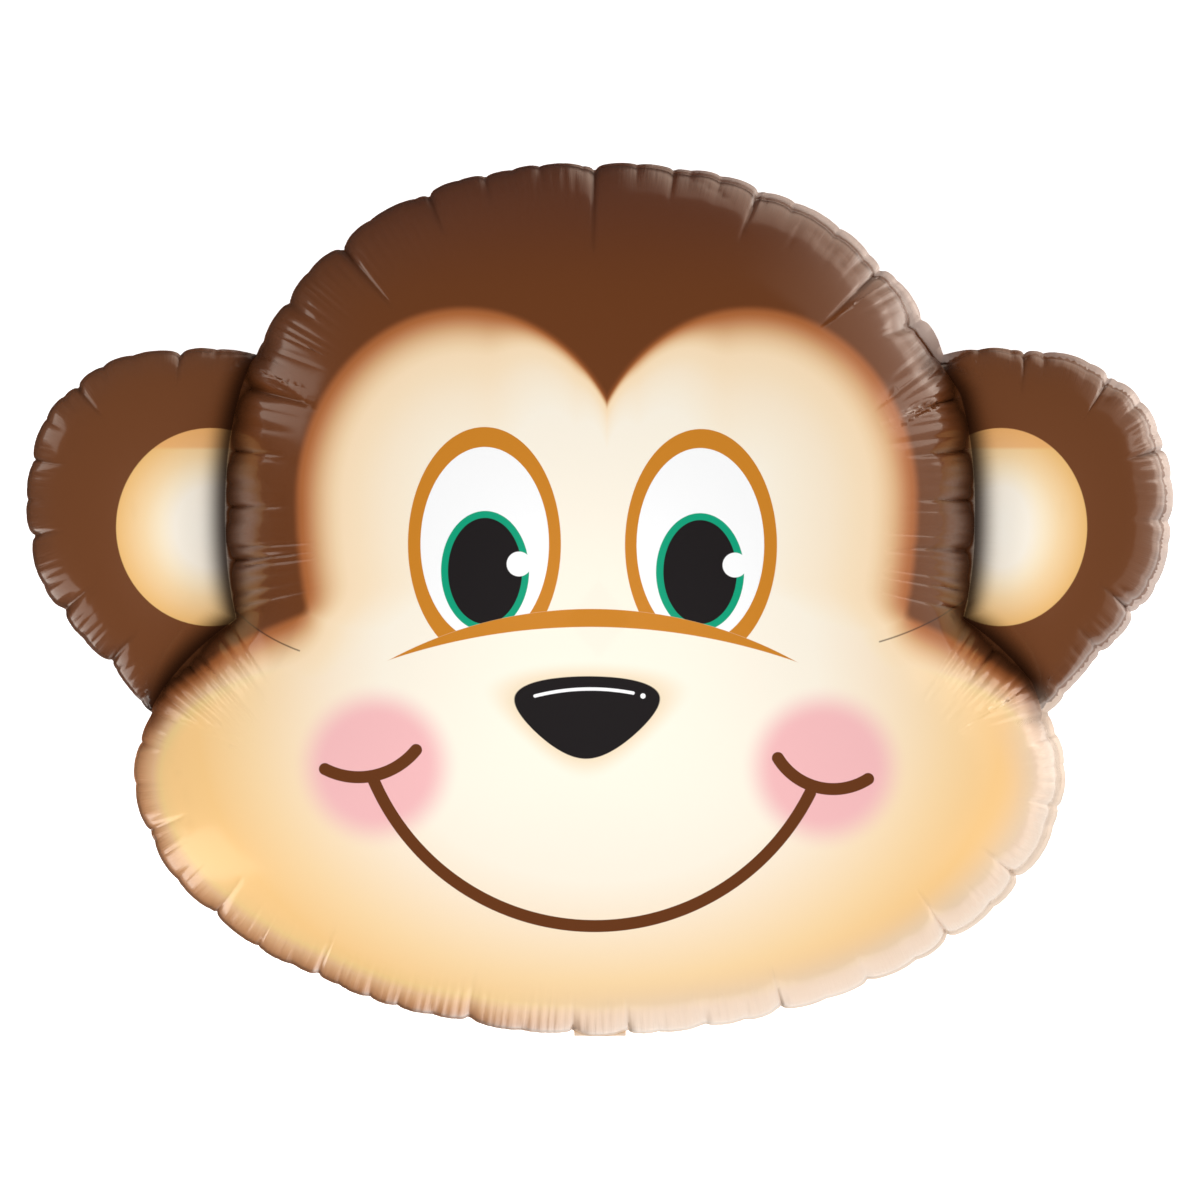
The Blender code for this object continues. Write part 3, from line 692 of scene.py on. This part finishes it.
# The print is laid out on the face as it is seen from straight in front. These maps are in millimetres.
spread = view["distance"] / (view["distance"] - foil["unpleated"][:, 2])
plan = (foil["unpleated"][:, :2] + shift[:2]) * spread[:, None] * 1000
corners = np.zeros(len(skinMesh.loops), np.int32)
skinMesh.loops.foreach_get("vertex_index", corners)
maps = {
    "printPlan": (plan[:, 0], plan[:, 1]), "seamRun": (foil["arc"] * 1000, foil["away"] * 1000),
    "foldRun": (foil["foldGap"] * 1000, foil["opened"]), "creaseRun": (foil["shade"], foil["shade"]),
}
for name, (u, v) in maps.items():
    layer = skinMesh.uv_layers.new(name=name)
    layer.data.foreach_set("uv", np.column_stack((u[corners], v[corners])).ravel().astype(np.float32))

bpy.ops.object.select_all(action="DESELECT")
skin.select_set(True)
bpy.context.view_layer.objects.active = skin
bpy.ops.object.mode_set(mode="EDIT")
bpy.ops.mesh.select_all(action="SELECT")
bpy.ops.mesh.normals_make_consistent(inside=False)
bpy.ops.object.mode_set(mode="OBJECT")
bpy.ops.object.shade_smooth_by_angle(angle=math.radians(60))
triangleCount = sum(len(polygon.vertices) - 2 for polygon in skinMesh.polygons)
print("envelope made:", len(skinMesh.vertices), "points,", triangleCount, "triangles")


def linear(hexColour):
    parts = [int(hexColour[k:k + 2], 16) / 255 for k in (0, 2, 4)]
    return tuple(c / 12.92 if c <= 0.04045 else ((c + 0.055) / 1.055) ** 2.4 for c in parts) + (1.0,)


def addNode(tree, kind, *values, out=0, **settings):
    # adds a node with its settings, links the sockets among its values, sets the others and gives an output;
    # a kind in capitals is an operation of the Math node, and a dictionary gives inputs by name or number
    node = tree.nodes.new("ShaderNodeMath" if kind.isupper() else "ShaderNode" + kind)
    if kind.isupper():
        settings["operation"] = kind
    for key, value in settings.items():
        setattr(node, key, value)
    inputs = values[0] if values and isinstance(values[0], dict) else dict(enumerate(values))
    for key, value in inputs.items():
        if isinstance(value, bpy.types.NodeSocket):
            tree.links.new(value, node.inputs[key])
        else:
            node.inputs[key].default_value = value
    return node.outputs[out] if node.outputs else None


def newMaterial(name):
    material = bpy.data.materials.new(name)
    material.use_nodes = True
    material.node_tree.nodes.clear()
    return material, partial(addNode, material.node_tree)


smooth = {"interpolation_type": "SMOOTHSTEP"}
crisp = (0.25, -0.25)    # the edge of a printed shape: ink is whole a quarter of a millimetre inside it
overInk = {"out": 2, "data_type": "RGBA"}

# Places on the print in millimetres from the middle of the face
face = {
    "ridge": 4.5, "lobe": ((92.2, 64.1), (108.3, 123.8)), "lobeStretch": 0.62, "jaw": ((0, -114), (306, 134)),
    "thinToRidge": ((80, 3.5), (22, 4.0)),     # the mask's soft edge is thinner towards the point of the hood
    "overJaw": (-30, 20), "jawMiddle": (200, 60, 1.8), "jawDepth": -110.0, "blend": (6.0, 24.0),
    "deepen": 1.3, "maskSoft": (3, -3), "hoodTop": (190, 275), "ears": (225, 245), "backJaw": ((0, -190), (300, 120)),
    "onEar": (-0.3, 0.3), "innerEarSoft": (0.4, -0.4), "earShade": (20, 0), "headShade": (-18, 0),
    "creamY": -75, "creamUp": 420.0, "creamDown": 172.0, "creamWide": 226.0,
    "leftEar": ((-250.7, 46.7), (61.2, 63.8)), "rightEar": ((258.5, 46.7), (55.5, 63.8)), "earBand": (96, 99),
    "leftCheek": (-144.4, -107.3), "rightCheek": (144.4, -108.6), "cheek": 43.5, "cheekSoft": (11.5, -11.5),
    "brow": ((-136, -39), (-7.7, -6.1), (127, -40.3)),
    "browUnder": ((-136, -39), (-5.2, -17.7), (127, -40.3)), "eyeLight": 8,
    "noseSides": (((-0.687, -0.727), 91.1), ((0.677, -0.736), 79.6)), "noseTop": ((-7.3, -281.4), 231.96),
    "noseRounding": (61.1, 47.4), "noseSoft": (11, -3),
    "smile": ((-145.7, -117), (-4.5, -210.5), (135.4, -124.7)),
    "leftCurl": ((-177.3, -109.3), (-152.1, -114.4), (-118.6, -97.0)),
    "rightCurl": ((114.7, -102.2), (149.5, -122.2), (172.8, -115.7)), "stroke": 3.9,
    "shine": ((-41.9, -62.2), (-3.2, -57.7), (21.3, -60.3)), "shineStroke": 1.05,
    "shineDot": ((27.7, -62.2), 1.7),
    # the two sharpest creases, drawn as lines of painted shade
    "creases": (((-235, -8), (-216, -22.5), (-194, -33)), ((234.4, -1.6), (212.7, -14.5), (180.3, -27.2))),
    "creaseStroke": 0.45,
}
eyes = (
    {"rim": ((-74.5, 35.8), (49.3, 75.4)), "white": ((-74.3, 35.8), (41.4, 62.5)),
     "iris": ((-74.1, 18.4), (28.4, 38.7)), "pupil": ((-74.1, 18.4), (23.9, 34.2)), "light": (-52.2, 22.9)},
    {"rim": ((65.1, 35.1), (49.0, 74.8)), "white": ((64.7, 35.1), (41.1, 62.5)),
     "iris": ((64.5, 17.7), (28.4, 38.0)), "pupil": ((64.5, 17.7), (23.7, 33.5)), "light": (87.0, 22.2)},
)
inks = {
    # the darker top brown below is painted shade
    "hood": "703E1E", "hoodTop": "673821", "ear": "754527", "pink": "F9BFC0", "orange": "D08526",
    "white": "FFFFFF", "green": "0BA37B", "black": "231F20", "mouth": "6B3A1B", "tan": "F0D9B5",
    # the dark fold colour below is painted shade, beside each ear and down in creases and pleats
    # the pale pearly colours below: bare film and painted highlight on the open weld, painted highlight on the jaw,
    # and bare film on the tail
    "earTop": "EBA765", "foldShade": "2A140A", "pearlAndSheen": "C9B1A5", "jawPearl": "EBD2BB",
}
# How much of an ink goes on where its mask is whole
inkShare = {"earBand": 0.6, "earShade": 0.93, "headShade": 0.6, "tan": 0.85, "crease": 0.75, "jawSheen": 0.88,
            "bareAndSheen": 0.9}
# Inks that run into each other: from the cream middle out, from the mask's edge in, and from the weld or an
# inner ear's edge in
scales = {
    "cheeks": ((0.50, "FFF6E5"), (0.62, "FFF5E3"), (0.77, "FFECD2"), (0.88, "FFE5C0"), (1.0, "FFDDAA"),
               (1.15, "FED08D"), (1.3, "FED08D")),
    "rim": ((-105, "FFF6E5"), (-80, "FFF2DC"), (-58, "FFEDD2"), (-40, "FFE7C4"), (-30, "FFE4BF"),
            (-25, "FADCB3"), (-20, "F2CDA1"), (-15, "E3B687"), (-11.5, "D69F70"), (-7, "C27F50"),
            (-4, "B46C3B"), (2, "A05A30")),
    "overSeam": ((-2, "CB8655"), (3, "D29362"), (7, "DCA373"), (11.5, "E8B685"), (16, "F3C899"),
                 (21, "FBD7AB"), (28, "FEDFB7"), (38, "FFE8C8"), (60, "FFF6E5")),
    "innerEar": ((-56, "FFF9EC"), (-38, "FFF6E6"), (-28, "FDEBCB"), (-18, "F9DAAA"), (-8, "F5CB8F"),
                 (1, "F0BD74")),
    "backJaw": ((-60, "FFDCAC"), (-20, "FED08C"), (-8, "E0A878"), (0, "C06A38")),
}


def placesOn(add):
    # where a point lies on the print, along and away from the weld, and from the fold of the ear
    plan = add("UVMap", uv_map="printPlan")
    x, y = add("SeparateXYZ", plan).node.outputs[:2]
    along, away = add("SeparateXYZ", add("UVMap", uv_map="seamRun")).node.outputs[:2]
    fold, opened = add("SeparateXYZ", add("UVMap", uv_map="foldRun")).node.outputs[:2]
    crease = add("SeparateXYZ", add("UVMap", uv_map="creaseRun"))
    return {"plan": plan, "x": x, "y": y, "along": along, "away": away, "fold": fold, "opened": opened,
            "crease": crease}


def discField(add, plan, centre, size):
    # distance outside an ellipse, rough away from its edge, and negative inside it
    wide, tall = size
    centred = add("VectorMath", plan, (1 / wide, 1 / tall, 0), (-centre[0] / wide, -centre[1] / tall, 0),
                  operation="MULTIPLY_ADD")
    length = add("VectorMath", centred, operation="LENGTH", out="Value")
    past = add("SUBTRACT", length, 1.0)
    if wide == tall:
        return add("MULTIPLY", past, wide)
    slope = add("VectorMath", centred, (1 / wide, 1 / tall, 0), operation="MULTIPLY")
    steep = add("VectorMath", slope, operation="LENGTH", out="Value")
    return add("MULTIPLY", past, add("DIVIDE", length, add("MAXIMUM", steep, 1e-6)))


def sideField(add, plan, normal, reach):
    # distance past a straight line
    size = math.hypot(*normal)
    across = (normal[0] / size, normal[1] / size, 0)
    return add("SUBTRACT", add("VectorMath", plan, across, operation="DOT_PRODUCT", out="Value"), reach)


def circleThrough(first, second, third):
    (ax, ay), (bx, by), (cx, cy) = first, second, third
    d = 2 * (ax * (by - cy) + bx * (cy - ay) + cx * (ay - by))
    a2, b2, c2 = ax * ax + ay * ay, bx * bx + by * by, cx * cx + cy * cy
    x = (a2 * (by - cy) + b2 * (cy - ay) + c2 * (ay - by)) / d
    y = (a2 * (cx - bx) + b2 * (ax - cx) + c2 * (bx - ax)) / d
    return (x, y), math.hypot(ax - x, ay - y)


def strokeField(add, plan, first, through, last, half):
    # distance outside a round-ended stroke along an arc through three points
    centre, radius = circleThrough(first, through, last)
    middle = ((first[0] + last[0]) / 2 - centre[0], (first[1] + last[1]) / 2 - centre[1])
    aheadX, aheadY = middle[0] / math.hypot(*middle), middle[1] / math.hypot(*middle)
    halfAngle = math.asin(math.hypot(last[0] - first[0], last[1] - first[1]) / 2 / radius)
    centred = add("VectorMath", plan, (-centre[0], -centre[1], 0), operation="ADD")
    length = add("VectorMath", centred, operation="LENGTH", out="Value")
    ahead = add("VectorMath", centred, (aheadX, aheadY, 0), operation="DOT_PRODUCT", out="Value")
    aside = add("VectorMath", centred, (aheadY, -aheadX, 0), operation="DOT_PRODUCT", out="Value")
    # both ends are folded onto one
    folded = add("CombineXYZ", add("ABSOLUTE", aside), ahead)
    ring = add("SUBTRACT", add("ABSOLUTE", add("SUBTRACT", length, radius)), half)
    cut = add("VectorMath", folded, (math.cos(halfAngle), -math.sin(halfAngle), 0), operation="DOT_PRODUCT",
              out="Value")
    end = add("VectorMath", folded, (radius * math.sin(halfAngle), radius * math.cos(halfAngle), 0),
              operation="DISTANCE", out="Value")
    return add("MINIMUM", add("MAXIMUM", ring, cut), add("SUBTRACT", end, half))


def inkScale(add, field, stops):
    # inks that run into each other evenly, by the value of a field
    low, high = stops[0][0], stops[-1][0]
    colour = add("ValToRGB", add("MapRange", field, low, high))
    bar = colour.node.color_ramp
    while len(bar.elements) < len(stops):
        bar.elements.new(0.5)
    for element, (at, ink) in zip(bar.elements, stops):
        element.position = (at - low) / (high - low)
        element.color = linear(ink)
    return colour


def laidOn(add, colour, layers):
    # one ink after another over what lies under it, each where its mask is 1
    for ink, mask in layers:
        ink = linear(inks[ink]) if isinstance(ink, str) else ink
        colour = add("Mix", {0: mask, 6: colour, 7: ink}, **overInk)
    return colour


def paleMask(add, at):
    # distance outside the pale mask, and how deep a point lies in it
    (lobeX, lobeY), lobeSize = face["lobe"]
    fromRidge = add("ABSOLUTE", add("SUBTRACT", at["x"], face["ridge"]))
    # the lobes are longer below their middle than above it
    over = add("SUBTRACT", at["y"], lobeY)
    under = add("MULTIPLY", add("MINIMUM", over, 0.0), face["lobeStretch"])
    over = add("ADD", add("MAXIMUM", over, 0.0), under)
    lobes = discField(add, add("CombineXYZ", fromRidge, over), (lobeX, 0), lobeSize)
    thinning = 1.0
    for reach, gain in face["thinToRidge"]:
        near = add("MapRange", fromRidge, reach, 0, **smooth)
        thinning = add("ADD", thinning, add("MULTIPLY", near, gain))
    thinLobes = add("MULTIPLY", lobes, thinning)
    jaw = discField(add, at["plan"], *face["jaw"])
    upper = add("MapRange", add("SUBTRACT", at["y"], face["jaw"][0][1]), *face["overJaw"], **smooth)
    # below the cheeks the mask runs over the seam, and has no edge of its own
    overSeam = add("Mix", {0: upper, 2: add("MULTIPLY", at["away"], -1.0), 3: jaw})
    far, middle, gain = face["jawMiddle"]
    flatter = add("ADD", 1.0, add("MULTIPLY", add("MapRange", fromRidge, far, middle, **smooth), gain))
    sunk = add("Mix", {0: upper, 2: face["jawDepth"], 3: add("MULTIPLY", jaw, flatter)})
    edgeBlend, depthBlend = face["blend"]
    shallow = add("SMOOTH_MIN", thinLobes, sunk, depthBlend)
    deep = add("SMOOTH_MIN", add("MAXIMUM", thinLobes, sunk), 0.0, depthBlend)
    edge = add("SMOOTH_MIN", lobes, overSeam, edgeBlend)
    return edge, add("ADD", shallow, add("MULTIPLY", deep, face["deepen"]))


def maskInks(add, at):
    # a soft orange edge, peach cheeks and a cream middle: the darkest of three scales
    edge, depth = paleMask(add, at)
    rise = add("SUBTRACT", at["y"], face["creamY"])
    tall = add("ADD", add("DIVIDE", add("MAXIMUM", rise, 0.0), face["creamUp"]),
               add("DIVIDE", add("MINIMUM", rise, 0.0), face["creamDown"]))
    wide = add("DIVIDE", add("ABSOLUTE", at["x"]), face["creamWide"])
    spread = add("VectorMath", add("CombineXYZ", wide, tall), operation="LENGTH", out="Value")
    tone = inkScale(add, spread, scales["cheeks"])
    for field, name in ((depth, "rim"), (at["away"], "overSeam")):
        other = inkScale(add, field, scales[name])
        tone = add("Mix", {0: 1.0, 6: tone, 7: other}, blend_type="DARKEN", **overInk)
    return [(tone, add("MapRange", edge, *face["maskSoft"], **smooth))]


def earInks(add, at, headShade):
    onEar = add("MapRange", at["fold"], *face["onEar"], **smooth)
    band = add("MULTIPLY", add("MapRange", at["y"], *face["earBand"], **smooth), inkShare["earBand"])
    layers = []
    for key in ("leftEar", "rightEar"):
        field = discField(add, at["plan"], *face[key])
        inner = laidOn(add, inkScale(add, field, scales["innerEar"]), [("earTop", band)])
        disc = add("MapRange", field, *face["innerEarSoft"], **smooth)
        layers.append((inner, add("MULTIPLY", disc, onEar)))
    # painted shade where ear and head press against each other
    earShade = add("MULTIPLY", onEar, add("POWER", add("MapRange", at["fold"], *face["earShade"], **smooth), 1.6))
    shades = (add("MULTIPLY", earShade, inkShare["earShade"]), add("MULTIPLY", headShade, inkShare["headShade"]))
    return layers + [("foldShade", shade) for shade in shades]


def eyeInks(add, at):
    # both eyes are cut off below by the brow of the muzzle
    browCentre, browRadius = circleThrough(*face["brow"])
    underCentre, underRadius = circleThrough(*face["browUnder"])
    overBrow = discField(add, at["plan"], browCentre, (browRadius, browRadius))
    underBrow = discField(add, at["plan"], underCentre, (underRadius, underRadius))
    above = add("MapRange", overBrow, *crisp[::-1], **smooth)
    layers = []
    for eye in eyes:
        for key, ink in (("rim", "orange"), ("white", "white"), ("iris", "green"), ("pupil", "black")):
            shape = add("MapRange", discField(add, at["plan"], *eye[key]), *crisp, **smooth)
            layers.append((ink, add("MULTIPLY", shape, above)))
        light = discField(add, at["plan"], eye["light"], (face["eyeLight"],) * 2)
        layers.append(("white", add("MapRange", light, *crisp, **smooth)))
    brow = add("MAXIMUM", overBrow, add("MULTIPLY", underBrow, -1.0))
    return layers + [("orange", add("MapRange", brow, *crisp, **smooth))]


def muzzleInks(add, at):
    # the nose: three sides rounded into each other, with a soft tan edge
    plan = at["plan"]
    first, second = (sideField(add, plan, *side) for side in face["noseSides"])
    topCentre, topRadius = face["noseTop"]
    sides = add("SMOOTH_MAX", first, second, face["noseRounding"][0])
    top = discField(add, plan, topCentre, (topRadius, topRadius))
    nose = add("SMOOTH_MAX", sides, top, face["noseRounding"][1])
    dotCentre, dotRadius = face["shineDot"]
    aroundNose = add("MapRange", nose, *face["noseSoft"], **smooth)
    layers = [("tan", add("MULTIPLY", aroundNose, inkShare["tan"]))]
    shapes = [("black", nose), ("white", strokeField(add, plan, *face["shine"], face["shineStroke"])),
              ("white", discField(add, plan, dotCentre, (dotRadius, dotRadius)))]
    for key in ("smile", "leftCurl", "rightCurl"):
        shapes.append(("mouth", strokeField(add, plan, *face[key], face["stroke"])))
    return layers + [(ink, add("MapRange", field, *crisp, **smooth)) for ink, field in shapes]


def cheekInks(add, at):
    size = (face["cheek"],) * 2
    discs = (discField(add, at["plan"], face[key], size) for key in ("leftCheek", "rightCheek"))
    return [("pink", add("MapRange", disc, *face["cheekSoft"], **smooth)) for disc in discs]


def creaseInks(add, at):
    # painted shade along the two sharpest creases of the film, at the corners of the hood, and painted shade as a
    # dark line down in each pleat
    half = face["creaseStroke"]
    lines = [add("MapRange", strokeField(add, at["plan"], *crease, half), half, -half, **smooth)
             for crease in face["creases"]]
    return [("foldShade", add("MULTIPLY", line, inkShare["crease"])) for line in lines + [at["crease"]]]


# Where the painted highlight and the bare pearly film lie on the right of the jaw and along the weld, in millimetres
paleJawAndWeld = {
    "jawSheenToward": (0.72, -0.69, 0), "jawSheen": (112, 222), "jawSheenBelow": (-50, -110), "jawSheenFrom": (42, 9),
    "sheenToward": (0.92, -0.39, 0), "bareAndSheen": (235, 315), "sheenBelow": (-60, -100), "bareAndSheenTo": (-0.9, 12.5),
    "toothWidth": 2.9, "toothLength": (0.45, 1.1), "toothSway": 14.0, "swayScale": 0.11, "paler": (-40, -90),
}


def bareFilmAndSheenInks(add, at):
    # painted highlight: under the right half of the jaw the colour turns paler towards the weld
    downRight = add("VectorMath", at["plan"], paleJawAndWeld["jawSheenToward"], operation="DOT_PRODUCT", out="Value")
    jawSheen = add("MULTIPLY", add("MapRange", downRight, *paleJawAndWeld["jawSheen"], **smooth),
               add("MapRange", at["y"], *paleJawAndWeld["jawSheenBelow"], **smooth))
    jawSheen = add("MULTIPLY", jawSheen, add("MapRange", at["away"], *paleJawAndWeld["jawSheenFrom"], **smooth))

    # pale and pearly on the right, where the weld lies open: bare film and painted highlight, with its edge in teeth
    # where the film is gathered;
    # on the right of the jaw the painted highlight reaches furthest in
    scaled = add("MULTIPLY", at["along"], paleJawAndWeld["swayScale"])
    sway = add("TexNoise", {"W": scaled, "Scale": 1.0, "Detail": 1.0}, noise_dimensions="1D")
    swayed = add("ADD", at["along"], add("MULTIPLY", sway, paleJawAndWeld["toothSway"]))
    teeth = add("PINGPONG", swayed, paleJawAndWeld["toothWidth"])
    toRight = add("VectorMath", at["plan"], paleJawAndWeld["sheenToward"], operation="DOT_PRODUCT", out="Value")
    onJaw = add("MULTIPLY", add("MapRange", toRight, *paleJawAndWeld["bareAndSheen"], **smooth),
                add("MapRange", at["y"], *paleJawAndWeld["sheenBelow"], **smooth))
    bareAndSheenTo, toothLength = (add("ADD", least, add("MULTIPLY", onJaw, more))
                           for least, more in (paleJawAndWeld["bareAndSheenTo"], paleJawAndWeld["toothLength"]))
    bareAndSheen = add("ADD", add("SUBTRACT", at["away"], bareAndSheenTo), add("MULTIPLY", teeth, toothLength))
    # painted highlight: paler still towards the bottom of the jaw
    paler = add("MapRange", at["y"], *paleJawAndWeld["paler"], **smooth)
    tone = laidOn(add, linear(inks["pearlAndSheen"]), [("jawPearl", paler)])
    share = add("MAXIMUM", at["opened"], add("MULTIPLY", onJaw, inkShare["bareAndSheen"]))
    return [("jawPearl", add("MULTIPLY", jawSheen, inkShare["jawSheen"])),
            (tone, add("MULTIPLY", add("MapRange", bareAndSheen, 0.5, -0.5, **smooth), share))]


# Drawn polyester film, printed by gravure: even ink with a clear, sharp gloss over a thin layer of metal, which
# gives the eye a wet shine on pleats and a faint sheen on the flat
film = {
    "metallic": 0.10, "roughness": 0.34, "ior": 1.5, "specular": 0.25, "coat": 0.7, "coatRoughness": 0.06,
    "shelter": (0.9, 0.8),     # how little is mirrored down in a pleat and beside an ear
    # hair-fine gathers at the weld, about 2.4 mm apart and so coarser than real ones, to show in the picture
    "gatherAlong": 0.42, "gatherAway": 0.035, "gatherReach": 26.0, "gatherBump": 0.35, "gatherHeight": 0.0012,
}


def foilShader(add, colour, at, sheltered):
    stretched = add("CombineXYZ", add("MULTIPLY", at["along"], film["gatherAlong"]),
                    add("MULTIPLY", at["away"], film["gatherAway"]))
    fine = add("TexNoise", {"Vector": stretched, "Scale": 1.0, "Detail": 2.0, "Roughness": 0.6},
               noise_dimensions="2D")
    gathered = add("MULTIPLY", fine, add("MapRange", at["away"], film["gatherReach"], 0.0, **smooth))
    bump = add("Bump", {"Strength": film["gatherBump"], "Distance": film["gatherHeight"], "Height": gathered})
    lit = add("SUBTRACT", 1.0, sheltered)
    surface = add("BsdfPrincipled", {
        "Base Color": colour, "Metallic": film["metallic"], "Roughness": film["roughness"],
        "IOR": film["ior"], "Specular IOR Level": add("MULTIPLY", lit, film["specular"]), "Normal": bump,
        "Coat Weight": add("MULTIPLY", lit, film["coat"]), "Coat Roughness": film["coatRoughness"]})
    add("OutputMaterial", surface)


def printedFront():
    material, add = newMaterial("gravurePrintedFoilFront")
    at = placesOn(add)
    # painted shade on the head beside each ear
    headShade = add("MULTIPLY", add("MapRange", at["fold"], *face["onEar"][::-1], **smooth),
                    add("MapRange", at["fold"], *face["headShade"], **smooth))
    # painted shade: the hood is darker brown towards its top
    hood = [("hoodTop", add("MapRange", at["y"], *face["hoodTop"], **smooth)),
            ("ear", add("MapRange", add("ABSOLUTE", at["x"]), *face["ears"], **smooth))]
    layers = hood + maskInks(add, at) + earInks(add, at, headShade) + cheekInks(add, at) + eyeInks(add, at)
    layers += muzzleInks(add, at) + creaseInks(add, at) + bareFilmAndSheenInks(add, at)
    colour = laidOn(add, linear(inks["hood"]), layers)
    inPleat, besideEar = film["shelter"]
    sheltered = add("MAXIMUM", add("MULTIPLY", at["crease"], inPleat), add("MULTIPLY", headShade, besideEar))
    foilShader(add, colour, at, sheltered)
    return material


def printedBack():
    # the hood's brown with a pale jaw, and a filling tail of bare film
    material, add = newMaterial("gravurePrintedFoilBack")
    at = placesOn(add)
    jaw = discField(add, at["plan"], *face["backJaw"])
    layers = [(inkScale(add, jaw, scales["backJaw"]), add("MapRange", jaw, 2, -2, **smooth)),
              ("jawPearl", add("MapRange", at["away"], -13.5, -14.5, **smooth))]
    foilShader(add, laidOn(add, linear(inks["hood"]), layers), at, 0.0)
    return material


skinMesh.materials.append(printedFront())
skinMesh.materials.append(printedBack())
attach(skin, "root")
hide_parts("foil_balloon")
print("foil printed")

studio = {"floorSize": 14.0, "floorGap": 0.0005, "floorGlow": 0.80, "dome": 0.42, "unlit": 0.015,
          "wallEdge": 0.06}

# What the foil mirrors round the balloon: bearing, half spread and soft edge in degrees, from and to which
# height of the ray (1 is overhead), glow and tint
walls = (
    {"bearing": -32, "spread": 54, "soft": 26,
     "low": -1.1, "high": -0.40, "glow": 1.02, "tint": (1.0, 0.93, 0.86)},
    {"bearing": 38, "spread": 30, "soft": 24,
     "low": -0.9, "high": -0.38, "glow": 0.75, "tint": (1.0, 0.78, 0.62)},
    {"bearing": 8, "spread": 30, "soft": 30,
     "low": -0.60, "high": 0.30, "glow": 0.74, "tint": (1.0, 0.84, 0.70)},
    {"bearing": 214, "spread": 6, "soft": 5,
     "low": -0.80, "high": 0.25, "glow": 1.7, "tint": (1.0, 0.95, 0.88)},
    {"bearing": 156, "spread": 4, "soft": 4,
     "low": -0.55, "high": 0.20, "glow": 1.5, "tint": (1.0, 0.92, 0.82)},
    {"bearing": 24, "spread": 4, "soft": 4,
     "low": -0.55, "high": 0.20, "glow": 1.5, "tint": (1.0, 0.92, 0.82)},
)
softbox = {"at": (-0.05, -0.5, 3.0), "size": 2.4, "watts": 69}


def makeFloor():
    bpy.ops.mesh.primitive_plane_add(size=studio["floorSize"], location=(0, 0, cadLow.z - studio["floorGap"]))
    floor = bpy.context.object
    floor.name = "studioFloor"
    bpy.ops.object.transform_apply(location=True, rotation=True, scale=True)
    # matt white studio paper, lit evenly
    material, add = newMaterial("paleStudioPaper")
    paper = add("BsdfPrincipled", {
        "Base Color": linear("FFFFFF"), "Roughness": 0.9, "Specular IOR Level": 0.1,
        "Emission Color": (1.0, 1.0, 1.0, 1.0), "Emission Strength": studio["floorGlow"]})
    add("OutputMaterial", paper)
    floor.data.materials.append(material)
    floor.visible_glossy = False      # the foil mirrors the studio's walls all round it
    floor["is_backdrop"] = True


def makeWorld():
    world = bpy.data.worlds.new("studioWorld")
    bpy.context.scene.world = world
    world.use_nodes = True
    world.node_tree.nodes.clear()
    add = partial(addNode, world.node_tree)
    toward = add("TexCoord", out="Generated")
    height = add("SeparateXYZ", toward, out=2)
    levelled = add("VectorMath", toward, (1, 1, 0), operation="MULTIPLY")
    around = add("VectorMath", levelled, operation="NORMALIZE")
    mirrored = (studio["unlit"],) * 3
    edge = studio["wallEdge"]
    for wall in walls:
        bearing = math.radians(wall["bearing"])
        turn = add("VectorMath", around, (math.cos(bearing), math.sin(bearing), 0), operation="DOT_PRODUCT",
                   out="Value")
        wide = add("MapRange", turn, math.cos(math.radians(wall["spread"] + wall["soft"])),
                   math.cos(math.radians(wall["spread"])), **smooth)
        tall = add("MULTIPLY", add("MapRange", height, wall["low"] - edge, wall["low"] + edge, **smooth),
                   add("MapRange", height, wall["high"] + edge, wall["high"] - edge, **smooth))
        glow = add("MULTIPLY", add("MULTIPLY", wide, tall), wall["glow"])
        lit = add("VectorMath", {0: wall["tint"], "Scale": glow}, operation="SCALE")
        mirrored = add("VectorMath", mirrored, lit, operation="ADD")
    glossy = add("LightPath", out="Is Glossy Ray")
    seen = add("Mix", {0: glossy, 6: (studio["dome"],) * 3 + (1.0,), 7: mirrored}, **overInk)
    add("OutputWorld", add("Background", seen, 1.0))


def makeSoftbox():
    bpy.ops.object.light_add(type="AREA", location=softbox["at"])
    lamp = bpy.context.object
    lamp.name = "keySoftbox"
    lamp.data.shape = "RECTANGLE"
    lamp.data.size = lamp.data.size_y = softbox["size"]
    lamp.data.energy = softbox["watts"]
    aim = Vector((0, 0, seamHeight)) - Vector(softbox["at"])
    lamp.rotation_euler = aim.to_track_quat("-Z", "Y").to_euler()
    lamp.visible_glossy = False


def makeCamera():
    bpy.ops.object.camera_add(location=(0, 0, seamHeight + view["distance"]), rotation=(0, 0, 0))
    camera = bpy.context.object
    camera.data.sensor_width = 36
    camera.data.lens = 36 * view["distance"] / view["metresAcross"]
    camera.data.clip_end = 50
    bpy.context.scene.camera = camera


makeFloor()
makeWorld()
makeSoftbox()
makeCamera()
bpy.context.scene.view_settings.view_transform = "Standard"
print("stage, lights and camera set")

low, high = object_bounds()
